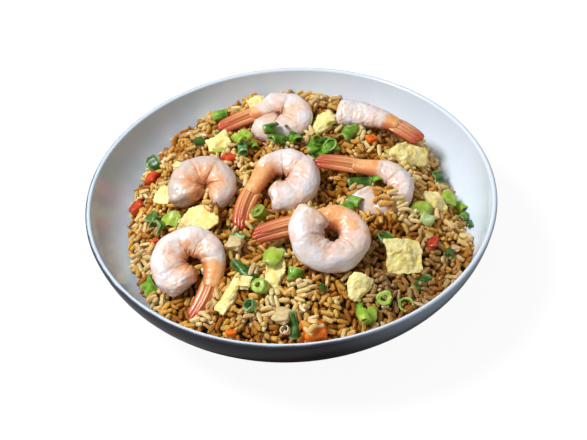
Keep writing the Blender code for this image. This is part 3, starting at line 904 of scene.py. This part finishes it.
def tail_blade(root, fan, girth, across, spread, share, width, thickness, height):
    """One blade of the tail: a flattened ball with a raised rib and a blunt tip."""
    length = fan * share + BLADE_INSIDE
    start_piece()
    bpy.ops.mesh.primitive_uv_sphere_add(
        segments=16, ring_count=14, radius=MM, rotation=(0, math.pi / 2, 0),
    )
    blade = bpy.context.object
    bpy.ops.object.transform_apply(rotation=True)
    enter_edit()
    shape = (length / 2, width / 2 * girth, thickness / 2 * girth)
    bpy.ops.transform.resize(value=shape, center_override=(0, 0, 0))
    for start, size in BLADE_SWELL:
        select_points(blade, lambda spot: spot.x > start * length / 2 * MM)
        bpy.ops.transform.resize(value=(1, size, size), center_override=(0, 0, 0))
    select_points(blade, lambda spot: abs(spot.y) < 0.1 * width * MM and spot.z > 0)
    bpy.ops.transform.translate(value=(0, 0, 0.35 * MM))
    leave_edit()
    spots = points_of(blade) / MM
    out = spots[:, 0] + length / 2 - BLADE_INSIDE
    mark_points(blade, "along", 2.0 + np.clip(out / fan, 0, 1))
    mark_points(blade, "belly", np.zeros(len(spots)))
    mark_points(blade, "crease", np.zeros(len(spots)))
    mark_points(blade, "rib", spots[:, 1] / (width / 2))
    blade.location = ((root - BLADE_INSIDE + length / 2) * MM, 0, 0)
    bpy.ops.object.transform_apply(location=True)
    turn = Matrix.Rotation(math.radians(spread), 4, "Z")
    hinge = Matrix.Translation((root * MM, 0, 0))
    shift = Matrix.Translation((0, across * girth * MM, height * girth * MM))
    blade.data.transform(shift @ hinge @ turn @ hinge.inverted())
    smooth_with(blade, 1)
    return blade


def bend_along(piece, points):
    """Bend a straight piece along a line, then put the line away."""
    curve = bpy.data.curves.new("curl", "CURVE")
    curve.dimensions = "3D"
    curve.twist_mode = "Z_UP"
    spline = curve.splines.new("POLY")
    spline.points.add(len(points) - 1)
    for target, spot in zip(spline.points, points):
        target.co = (*(spot * MM), 1.0)
    guide = bpy.data.objects.new("curl", curve)
    bpy.context.scene.collection.objects.link(guide)
    apply_modifier(piece, "CURVE", object=guide, deform_axis="POS_X")
    bpy.data.objects.remove(guide)
    bpy.data.curves.remove(curve)


def make_shrimp(name, shape, material):
    form = dict(shape)
    lean = form.pop("lean", 0)
    girth = form.pop("girth", 1.0)
    segments = form.pop("segments", 5)
    last, fan = form.get("last", 0), form.get("fan", 0)
    points, body = shrimp_line(**form)
    belly_side = math.copysign(1, form["curl"])
    # The line runs on past both ends, so that the rounded ends bend with the rest.
    ahead = (points[0] - points[1]).normalized() * LINE_OVERRUN
    beyond = (points[-1] - points[-2]).normalized() * LINE_OVERRUN
    line = [points[0] + ahead] + points + [points[-1] + beyond]
    warmth_and_shade, swell, shell, cut, depth = SHRIMP_LOOKS[name]
    shrimp = straight_body(body, last, segments, girth, depth, belly_side)
    shape_flesh(shrimp, body, segments, last, swell, cut, depth, len(name))
    kinds = TAIL_BLADES if fan else ()
    blades = [tail_blade(body + last, fan, girth, *kind) for kind in kinds]
    start_piece()
    for blade in blades:
        blade.select_set(True)
    shrimp.select_set(True)
    bpy.context.view_layer.objects.active = shrimp
    if blades:
        bpy.ops.object.join()
    shrimp.data.transform(Matrix.Translation((LINE_OVERRUN * MM, 0, 0)))
    bend_along(shrimp, line)
    shrimp.data.transform(Matrix.Rotation(math.radians(lean), 4, "X"))
    mark_points(shrimp, "warmth_and_shade", np.full(len(shrimp.data.vertices), warmth_and_shade))
    mark_points(shrimp, "shell", read_points(shrimp, "along") - shell)
    fit_box(shrimp, name)
    return finish_piece(shrimp, name + "_flesh", material, "shrimp", name)


# ---------------------------------------------------------------- smaller toppings

def make_egg(name, material):
    """Torn egg: the node's slab, closed again as a fine skin and crumbled."""
    piece = copy_node(name)
    apply_modifier(piece, "REMESH", mode="VOXEL", voxel_size=0.6 * MM)
    seed = name_seed(name)
    crumple(piece, 9.0, 2.4, seed)
    crumple(piece, 3.0, 0.5, seed + 3)
    roughen(piece, 2.2, 0.35, seed + 5)
    roughen(piece, 1.1, 0.4, seed + 9)
    return finish_piece(piece, name + "_curd", material, "egg", name)


def thicken_ring(piece):
    """Draw a tube's inner wall in towards its axis."""
    normals = np.array([face.normal for face in piece.data.polygons])
    alike = (np.abs(normals @ normals.T) > 0.98).sum(axis=1)
    axis = normals[alike.argmax()]
    spots = points_of(piece).astype(float)
    middle = (spots.min(axis=0) + spots.max(axis=0)) / 2
    off = spots - middle
    radial = off - np.outer(off @ axis, axis)
    reach = np.linalg.norm(radial, axis=1)
    inner = reach < (reach.min() + reach.max()) / 2
    spots[inner] -= radial[inner] * 0.5
    move_points(piece, spots)


def make_scallion(name, material):
    """Cut scallion: the node's leaf with its rims creased and its bends rounded."""
    piece = copy_node(name)
    number = int(name[-2:])
    if number in THICK_RINGS:
        thicken_ring(piece)
    rims = sharp_edges(piece)
    enter_edit()
    crease_sharp(SHARP_ANGLE, 0.75)
    leave_edit()
    smooth_with(piece, 2)
    mark_leaf(piece, rims)
    seed = name_seed(name)
    whole = number in WHOLE_TUBES
    roughen(piece, 5.0, 0.7 if whole else 1.5, seed)
    crumple(piece, 7.0, 1.0 if whole else 2.4, seed)
    return finish_piece(piece, name + "_leaf", material, "scallion", name)


def sharp_edges(piece):
    """The ends of every sharp edge, in millimetres."""
    bm = bmesh.new()
    bm.from_mesh(piece.data)
    sharp = [edge for edge in bm.edges if edge.calc_face_angle(0.0) > math.radians(SHARP_ANGLE)]
    ends = [[list(vert.co / MM) for vert in edge.verts] for edge in sharp]
    bm.free()
    return np.array(ends)


def mark_leaf(piece, rims):
    """Note how near each point is to a cut rim, and the veins that run along the leaf."""
    spots = points_of(piece).astype(float) / MM
    starts, runs = rims[:, 0], rims[:, 1] - rims[:, 0]
    off = spots[:, None, :] - starts[None, :, :]
    share = np.clip((off * runs).sum(axis=2) / (runs ** 2).sum(axis=1), 0, 1)
    far = np.linalg.norm(off - share[:, :, None] * runs, axis=2).min(axis=1)
    mark_points(piece, "rim", np.clip(1 - far / 0.9, 0, 1))
    middle = spots - spots.mean(axis=0)
    frame_of_leaf = np.linalg.eigh(middle.T @ middle)[1]
    own = middle @ frame_of_leaf
    veins = [noise.noise(Vector((a / 0.7, b / 0.7, c / 9.0))) for a, b, c in own]
    mark_points(piece, "vein", veins)


def crumple(piece, size, reach, seed):
    """Shift every point by a soft noise, so that no outline stays straight."""
    for vert in piece.data.vertices:
        place = vert.co / (size * MM) + Vector((0.0, seed, 0.0))
        vert.co += noise.noise_vector(place) * reach * MM


def make_dice(name, material, slot):
    piece = copy_node(name)
    apply_modifier(piece, "REMESH", mode="VOXEL", voxel_size=0.6 * MM)
    seed = name_seed(name)
    roughen(piece, 5.0, 1.2, seed)
    return finish_piece(piece, name + "_cut", material, slot, name)


# ---------------------------------------------------------------- rice

def tree_of(names):
    spots = []
    faces = []
    for name in names:
        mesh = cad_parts[name].data
        first = len(spots)
        spots += [vert.co for vert in mesh.vertices]
        faces += [tuple(first + index for index in face.vertices) for face in mesh.polygons]
    return BVHTree.FromPolygons(spots, faces)


def cast(tree, x, y, down):
    start = Vector((x * MM, y * MM, 0.2 if down else -0.1))
    hit = tree.ray_cast(start, Vector((0, 0, -1 if down else 1)))[0]
    return hit.z / MM if hit is not None else math.nan


def wall_height(radius):
    wall = inner_wall()
    return np.interp(radius, [r for r, z in wall], [z for r, z in wall])


def clump(x, y):
    """Above zero where the grains stand up in clumps, below it in the hollows."""
    wide = noise.noise(Vector((x, y, 20.0)) / 12.0)
    return wide + 0.5 * noise.noise(Vector((x, y, 60.0)) / 6.0)


def bank(x, y):
    """How much of the loose rice is banked against the wall, at the right front."""
    angle = math.degrees(math.atan2(y, x))
    turn = min(max((angle + 72) / 18, 0), 1) * min(max((-16 - angle) / 14, 0), 1)
    return turn * min(max((math.hypot(x, y) - 94) / 24, 0), 1) ** 2


class Pile:
    """Height maps of the rice, of what lies on it and of the wall, in millimetres."""

    def __init__(self):
        self.reach = 128.0
        self.count = int(2 * self.reach / GRID) + 1
        self.axis = -self.reach + GRID * np.arange(self.count)
        heap = tree_of(["rice_heap"])
        others = [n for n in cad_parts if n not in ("rice_heap", "bowl")]
        toppings = tree_of(others)
        shape = (self.count, self.count)
        self.goal = np.full(shape, np.nan)
        self.cover_low = np.full(shape, np.nan)
        self.cover_high = np.full(shape, np.nan)
        grid_x, grid_y = np.meshgrid(self.axis, self.axis, indexing="ij")
        radius = np.hypot(grid_x, grid_y)
        for i, j in zip(*np.nonzero(radius < BANK_RADIUS)):
            x, y = self.axis[i], self.axis[j]
            level, banked = cast(heap, x, y, True), bank(x, y)
            if math.isnan(level) and banked > 0.6:
                level = BANK_HEIGHT
            added = banked * max(BANK_HEIGHT - level, 0)
            self.goal[i, j] = level + added + CLUMP_RELIEF * clump(x, y)
            high = cast(toppings, x, y, True)
            if not math.isnan(high):
                self.cover_high[i, j] = high
                self.cover_low[i, j] = cast(toppings, x, y, False)
        wall = wall_height(radius)
        self.top = np.where(np.isnan(self.goal), wall, np.maximum(self.goal - RICE_DEPTH, wall))

    def cells(self, x, y):
        i = np.clip(((np.asarray(x) + self.reach) / GRID).round().astype(int), 0, self.count - 1)
        j = np.clip(((np.asarray(y) + self.reach) / GRID).round().astype(int), 0, self.count - 1)
        return i, j

    def rest(self, x, y, yaw, length, radius, lean):
        """Height and slope of a grain let down on the pile, or None where it can't lie."""
        span = length / 2 - radius * 0.7
        along = np.linspace(-span, span, 9)
        cos, sin = math.cos(yaw), math.sin(yaw)
        line_x, line_y = x + along * cos, y + along * sin
        ground = np.full(9, -1e9)
        for side in (-0.6, 0.0, 0.6):
            i, j = self.cells(line_x - side * radius * sin, line_y + side * radius * cos)
            drop = radius * (1 - math.sqrt(1 - side * side))
            ground = np.maximum(ground, self.top[i, j] + radius * 0.72 - drop)
        left, right = along[:4], along[5:]
        ground_left, ground_right = ground[:4], ground[5:]
        run = right[None, :] - left[:, None]
        crossed = ground_left[:, None] * right[None, :] - ground_right[None, :] * left[:, None]
        middle = crossed / run
        best = np.unravel_index(middle.argmax(), middle.shape)
        height = middle[best]
        slope = (ground_right[best[1]] - ground_left[best[0]]) / run[best]
        if ground[4] > height:
            height = ground[4]
            up, down = (ground_right - height) / right, (height - ground_left) / -left
            slope = up.max() if lean > 0 else down.min()
        slope += 0.35 * lean
        height += 0.35 * abs(lean) * span * 0.5
        if abs(slope) > STEEPEST_GRAIN:
            return None
        line_z = height + slope * along
        i, j = self.cells(line_x, line_y)
        low, high = self.cover_low[i, j], self.cover_high[i, j]
        hit = (line_z + 0.5 * radius > low) & (line_z - 0.8 * radius < high)
        if hit[2:7].any() or hit.sum() > 2:
            return None
        goal = self.goal[i, j]
        if np.isnan(goal).sum() > 3 or np.nanmax(line_z - goal) > HIGHEST_OVER_HEAP:
            return None
        return height, slope

    def lay(self, x, y, yaw, length, radius, height, slope):
        """Raise the pile by a grain that lies there."""
        reach = int(length / 2 / GRID) + 2
        i, j = (int(v) for v in self.cells(x, y))
        rows = slice(max(i - reach, 0), i + reach + 1)
        columns = slice(max(j - reach, 0), j + reach + 1)
        off_x = self.axis[rows][:, None] - x
        off_y = self.axis[columns][None, :] - y
        cos, sin = math.cos(yaw), math.sin(yaw)
        along = off_x * cos + off_y * sin
        across = -off_x * sin + off_y * cos
        width = radius * np.sqrt(np.clip(1 - (along / (length / 2)) ** 2, 0, 1)) ** 0.6
        inside = np.abs(across) < width
        bulge = np.sqrt(np.clip(width ** 2 - across ** 2, 0, None))
        surface = np.where(inside, height + slope * along + bulge, -1e9)
        self.top[rows, columns] = np.maximum(self.top[rows, columns], surface)


def model_grain(bend, blunt, plump):
    """One grain along X: a stretched ball, tapered at one end and slightly bent."""
    start_piece()
    bpy.ops.mesh.primitive_uv_sphere_add(
        segments=6, ring_count=6, radius=1.0, rotation=(0, math.pi / 2, 0),
    )
    grain = bpy.context.object
    bpy.ops.object.transform_apply(rotation=True)
    enter_edit()
    for low, high, size in (
        (0.3, 0.7, blunt), (0.7, 0.95, 1.45), (-0.95, -0.7, 1.56), (-0.7, -0.3, 1.1),
        (-0.2, 0.2, plump),
    ):
        select_points(grain, lambda spot: low < spot.x < high)
        bpy.ops.transform.resize(value=(1, size, size), center_override=(0, 0, 0))
    leave_edit()
    for vert in grain.data.vertices:
        vert.co.y += bend * (0.5 - vert.co.x ** 2)
    return grain


def scatter_rice(pile, rng):
    """Let grains down one by one into the deepest of a few hollows."""
    laid = []
    for _ in range(GRAIN_TRIES):
        radius = BANK_RADIUS * np.sqrt(rng.random(7))
        angle = rng.random(7) * 2 * math.pi
        xs, ys = radius * np.cos(angle), radius * np.sin(angle)
        i, j = pile.cells(xs, ys)
        lack = np.nan_to_num(pile.goal[i, j] - pile.top[i, j], nan=-9.0)
        best = int(lack.argmax())
        length = rng.uniform(*GRAIN_LENGTHS) * (0.6 if rng.random() < 0.18 else 1.0)
        thick = GRAIN_RADIUS * rng.uniform(0.88, 1.12)
        yaw = 5.0 * noise.noise(Vector((xs[best], ys[best], 40.0)) / 15.0) + 0.75 * rng.normal()
        lean = rng.normal() if rng.random() < 0.45 else 0.0
        x, y = xs[best], ys[best]
        if lack[best] < rng.uniform(-0.4, 0.9):
            continue
        found = pile.rest(x, y, yaw, length, thick, lean)
        if found is None:
            continue
        height, slope = found
        pile.lay(x, y, yaw, length, thick, height, slope)
        laid.append((x, y, height, yaw, math.atan(slope), length, thick))
    return laid


def spill_rice(pile, rng):
    """A few grains that lie over the toppings."""
    laid = []
    bare = np.full(pile.top.shape, np.nan)
    surface = np.fmax(pile.top, pile.cover_high)
    kept = pile.top, pile.cover_low, pile.cover_high, pile.goal
    pile.top, pile.cover_low, pile.cover_high = surface, bare, bare
    pile.goal = surface + 2.5
    for x, y, reach, count in SPILLS:
        for _ in range(count * 12):
            off = reach * np.sqrt(rng.random(4))
            angle = rng.random(4) * 2 * math.pi
            tries = np.stack((x + off * np.cos(angle), y + off * np.sin(angle)), axis=1)
            spot = tuple(tries[pile.top[pile.cells(tries[:, 0], tries[:, 1])].argmin()])
            length, thick, yaw = rng.uniform(*GRAIN_LENGTHS), GRAIN_RADIUS, rng.random() * math.pi
            found = pile.rest(*spot, yaw, length, thick, 0.0)
            enough = sum(1 for grain in laid if grain[7] == (x, y)) >= count
            if found is None or abs(found[1]) > STEEPEST_SPILL or enough:
                continue
            pile.lay(*spot, yaw, length, thick, *found)
            laid.append((*spot, found[0], yaw, math.atan(found[1]), length, thick, (x, y)))
    pile.top, pile.cover_low, pile.cover_high, pile.goal = kept
    return [grain[:7] for grain in laid]


def grain_matrix(x, y, z, yaw, pitch, length, thick, roll):
    place = Matrix.Translation(Vector((x, y, z)) * MM)
    turn = Matrix.Rotation(yaw, 4, "Z") @ Matrix.Rotation(-pitch, 4, "Y")
    turn = turn @ Matrix.Rotation(roll, 4, "X")
    wide, deep = thick * GRAIN_WIDTH * MM, thick * GRAIN_DEPTH * MM
    size = Matrix.Diagonal((length / 2 * MM, wide, deep, 1.0))
    return place @ turn @ size


def keep_form(piece):
    """Put a modelled form away and keep its points and faces, for join_copies."""
    form = points_of(piece).astype(float), [tuple(face.vertices) for face in piece.data.polygons]
    bpy.data.objects.remove(piece)
    return form


def join_copies(name, copies, tones):
    """One mesh out of many placed copies of modelled forms."""
    spots, faces, shade = [], [], []
    first = 0
    for ((own, own_faces), matrix), tone in zip(copies, tones):
        spots.append(own @ np.array(matrix)[:3, :3].T + np.array(matrix)[:3, 3])
        faces += [[first + index for index in face] for face in own_faces]
        shade.append(np.full(len(own), tone))
        first += len(own)
    mesh = bpy.data.meshes.new(name)
    mesh.from_pydata(np.concatenate(spots).tolist(), [], faces)
    piece = bpy.data.objects.new(name, mesh)
    bpy.context.scene.collection.objects.link(piece)
    mark_points(piece, "tone", np.concatenate(shade))
    return piece


def make_rice(materials, core_material):
    pile = Pile()
    make_core(pile, core_material)
    rng = np.random.default_rng(11)
    laid = [grain + (0.0,) for grain in scatter_rice(pile, rng)]
    laid += [grain + (SPILL_LIFT,) for grain in spill_rice(pile, rng)]
    # A straight, a bent and a plump grain.
    shapes = ((0.08, 1.02, 1.0), (0.4, 1.0, 1.0), (0.15, 1.1, 1.06))
    forms = [keep_form(model_grain(*shape)) for shape in shapes]
    kinds = {name: ([], []) for name in materials}
    names = list(materials)
    for x, y, z, yaw, pitch, length, thick, lift in laid:
        # Grains up on the clumps are painted paler and grains down in the hollows darker: painted
        # light and shade that follow the relief, over a slow random change of tone. The kind of
        # grain follows it as well.
        tone_and_relief_shade = 0.35 * noise.noise(Vector((x, y, 5.0)) / 30.0) + clump(x, y)
        lift += 0.12 * min(max((x - 70.0) / 20.0, 0.0), 1.0)
        tone = min(max(0.36 * rng.random() + 0.32 + lift + 0.85 * tone_and_relief_shade, 0), 1)
        choice = 0.36 * rng.random() + 0.32 + lift + 0.95 * tone_and_relief_shade
        kind = names[0] if choice > PALE_FROM else names[1] if choice > GOLDEN_FROM else names[2]
        matrix = grain_matrix(x, y, z, yaw, pitch, length, thick, rng.random() * 6.28)
        form = forms[int(rng.integers(len(forms)))]
        kinds[kind][0].append((form, matrix))
        kinds[kind][1].append(tone)
    for kind, (copies, tones) in kinds.items():
        piece = join_copies(kind, copies, tones)
        finish_piece(piece, kind, materials[kind], "rice", "rice_heap")
    return pile


def model_bits():
    """The forms of the small cuttings, each about one unit long along X."""
    made = {}
    start_piece()
    bpy.ops.mesh.primitive_cylinder_add(
        vertices=12, radius=0.5, depth=1.0, end_fill_type="NOTHING", rotation=(0, math.pi / 2, 0),
    )
    ring = bpy.context.object
    bpy.ops.object.transform_apply(rotation=True)
    made["half"] = cut_leaf(copy_form(ring), -0.05, 0.14)
    made["strip"] = cut_leaf(copy_form(ring), 0.3, 0.10)
    hoop = copy_form(ring)
    apply_modifier(hoop, "SOLIDIFY", thickness=0.13, offset=-1.0)
    made["hoop"] = soften_form(hoop)
    bpy.data.objects.remove(ring)
    start_piece()
    bpy.ops.mesh.primitive_cube_add(size=1.0)
    block = bpy.context.object
    enter_edit()
    bpy.ops.mesh.select_all(action="SELECT")
    bpy.ops.mesh.bevel(offset=0.12, segments=1)
    bpy.ops.mesh.subdivide(number_cuts=2)
    leave_edit()
    for vert in block.data.vertices:
        vert.co *= 1.0 + 0.45 * noise.noise(vert.co * 2.3)
    made["block"] = block
    chip = copy_form(block)
    smooth_with(chip, 1)
    for vert in chip.data.vertices:
        vert.co = vert.co.normalized() * (0.3 + 0.4 * vert.co.length)
        vert.co *= 1.0 + 0.3 * noise.noise(vert.co * 2.6 + Vector((3.0, 0.0, 0.0)))
    made["chip"] = chip
    return {name: keep_form(piece) for name, piece in made.items()}


def copy_form(source):
    piece = bpy.data.objects.new(source.name, source.data.copy())
    bpy.context.scene.collection.objects.link(piece)
    return piece


def cut_leaf(piece, level, wall):
    """Keep the part of a tube above a level, thicken it and soften it."""
    select_only(piece)
    enter_edit()
    bpy.ops.mesh.select_all(action="DESELECT")
    bm = bmesh.from_edit_mesh(piece.data)
    for face in bm.faces:
        if face.calc_center_median().z < level:
            face.select_set(True)
    bmesh.update_edit_mesh(piece.data)
    bpy.ops.mesh.delete(type="FACE")
    leave_edit()
    apply_modifier(piece, "SOLIDIFY", thickness=wall, offset=-1.0)
    return soften_form(piece)


def soften_form(piece):
    """Split the lengths, round the rims and crumple the form a little."""
    select_only(piece)
    enter_edit()
    crease_sharp(60, 0.7)
    leave_edit()
    smooth_with(piece, 1)
    for vert in piece.data.vertices:
        vert.co *= 1.0 + 0.18 * noise.noise(vert.co * 3.0)
    return piece


def make_bits(pile, forms, name, bits, material, slot, deep):
    """Small cuttings of one kind, set on the rice as one piece."""
    copies = []
    for form, x, y, length, width, turn, tip in bits:
        i, j = pile.cells(x, y)
        ground = float(np.fmax(pile.top[i, j], np.nan_to_num(pile.cover_high[i, j], nan=-99.0)))
        thick = width if form == "hoop" else width * deep
        sink = BIT_LIFTS[form] * thick
        place = Matrix.Translation(Vector((x, y, ground + sink)) * MM)
        turned = Matrix.Rotation(math.radians(turn), 4, "Z")
        turned = turned @ Matrix.Rotation(math.radians(tip), 4, "Y")
        size = Matrix.Diagonal((length * MM, width * MM, thick * MM, 1.0))
        copies.append((forms[form], place @ turned @ size))
    piece = join_copies(name, copies, [0.5] * len(copies))
    return finish_piece(piece, name, material, slot)


def make_core(pile, material):
    """The inside of the heap, painted dark as the shade between the grains: a ball pressed to the
    bowl, under the loose grains.
    """
    start_piece()
    bpy.ops.mesh.primitive_uv_sphere_add(segments=96, ring_count=64, radius=1.0)
    core = bpy.context.object
    for vert in core.data.vertices:
        angle = math.atan2(vert.co.y, vert.co.x)
        share = math.hypot(vert.co.x, vert.co.y)
        rim = heap_rim(pile, angle) - 3.5
        x, y = share * rim * math.cos(angle), share * rim * math.sin(angle)
        i, j = pile.cells(x, y)
        floor = float(wall_height(math.hypot(x, y))) + 1.0
        goal = pile.goal[i, j]
        top = floor + 1.0 if np.isnan(goal) else max(goal - RICE_DEPTH + 0.5, floor + 1.0)
        vert.co = Vector((x, y, top if vert.co.z > 0.01 else floor)) * MM
    return finish_piece(core, "rice_shade_core", material, "rice", "rice_heap")


def heap_rim(pile, angle):
    """How far out the heap reaches in one direction."""
    for radius in np.arange(118.0, 90.0, -0.7):
        i, j = pile.cells(radius * math.cos(angle), radius * math.sin(angle))
        if not np.isnan(pile.goal[i, j]):
            return float(radius)
    return 90.0


# ---------------------------------------------------------------- setting

def make_setting():
    """A white table that shows only a faint shadow, a pale room and two lamps."""
    start_piece()
    bpy.ops.mesh.primitive_plane_add(size=6.0, location=(0, 0, -0.0002))
    floor = bpy.context.object
    floor.name = "floor"
    material, tree, shader = new_material("floor_white", Roughness=0.9)
    shader.inputs["Base Color"].default_value = rgb(0.25, 0.25, 0.25)
    glow = add_node(tree, "ShaderNodeEmission", {"Strength": 1.5})
    seen = add_node(tree, "ShaderNodeLightPath").outputs["Is Camera Ray"]
    share = times(tree, seen, 0.62)
    inputs = {0: share, 1: shader.outputs[0], 2: glow.outputs[0]}
    both = add_node(tree, "ShaderNodeMixShader", inputs)
    tree.links.new(both.outputs[0], tree.nodes["Material Output"].inputs["Surface"])
    floor.data.materials.append(material)

    world = bpy.data.worlds.new("studio")
    bpy.context.scene.world = world
    world.use_nodes = True
    sky = world.node_tree.nodes["Background"]
    sky.inputs["Color"].default_value = rgb(1.0, 0.98, 0.97)
    sky.inputs["Strength"].default_value = 0.32

    for name, place, size, watts, color in (
        ("key_light", (-0.66, 0.0, 1.05), 0.42, 16.6, (0.93, 0.975, 1.0)),
        ("fill_light", (-0.2, -1.1, 0.75), 0.8, 0.6, (0.90, 0.96, 1.0)),
    ):
        lamp = bpy.data.lights.new(name, "AREA")
        lamp.shape = "DISK"
        lamp.size = size
        lamp.energy = watts
        lamp.color = color
        light = bpy.data.objects.new(name, lamp)
        light.location = place
        light.rotation_mode = "QUATERNION"
        light.rotation_quaternion = (-Vector(place)).to_track_quat("-Z", "Y")
        bpy.context.scene.collection.objects.link(light)


def make_camera():
    """The serving view: from the front, a little above half way up."""
    elevation = math.radians(43.57)
    roll = math.radians(-3.62)
    target = Vector((0.0009, -0.0277, 0.058))
    back = Vector((0, -math.cos(elevation), math.sin(elevation)))
    camera = bpy.data.cameras.new("serving_view")
    camera.sensor_width = 36.0
    camera.lens = 77.9
    view = bpy.data.objects.new("serving_view", camera)
    view.location = target + back * 0.8
    level = (-back).to_track_quat("-Z", "Y").to_matrix().to_4x4()
    view.rotation_mode = "QUATERNION"
    view.rotation_quaternion = (level @ Matrix.Rotation(roll, 4, "Z")).to_quaternion()
    bpy.context.scene.collection.objects.link(view)
    bpy.context.scene.camera = view
    bpy.context.scene.view_settings.view_transform = "Standard"


# ---------------------------------------------------------------- the dish

make_setting()
make_camera()
make_bowl(make_inner_glaze(), make_outer_glaze())

flesh = make_shrimp_material()
for name, shape in SHRIMPS.items():
    make_shrimp(name, shape, flesh)

curd = make_egg_material()
for name in sorted(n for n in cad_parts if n.startswith("egg")):
    make_egg(name, curd)

leaves = {
    kind: make_leaf_material(kind, *(rgb(*colour) for colour in colours))
    for kind, colours in LEAF_COLOURS.items()
}
for kind, numbers in LEAF_KINDS.items():
    for number in numbers:
        make_scallion(f"scallion_{number:02d}", leaves[kind])

carrot = make_dice_material("carrot", rgb(0.66, 0.095, 0.002), rgb(0.87, 0.20, 0.005))
pepper = make_dice_material("pepper", rgb(0.38, 0.018, 0.004), rgb(0.64, 0.075, 0.012))
make_dice("carrot_dice", carrot, "carrot")
for name in ("pepper_dice_left", "pepper_dice_back", "pepper_dice_middle"):
    make_dice(name, pepper, "pepper")

rice_materials = {
    kind: make_rice_material(kind, *(rgb(*colour) for colour in colours))
    for kind, colours in RICE_COLOURS.items()
}
pile = make_rice(rice_materials, make_shade_core_material())

forms = model_bits()
for kind, bits in LEAF_BITS.items():
    make_bits(pile, forms, "bits_" + kind, bits, leaves[kind], "scallion", 1.0)
make_bits(pile, forms, "bits_pepper", RED_BITS, pepper, "pepper", 0.8)
make_bits(pile, forms, "bits_carrot", ORANGE_BITS, carrot, "carrot", 0.9)
make_bits(pile, forms, "bits_onion", ONION_BITS, make_onion_material(), "rice", 0.55)
make_bits(pile, forms, "bits_egg", EGG_BITS, curd, "egg", 0.6)
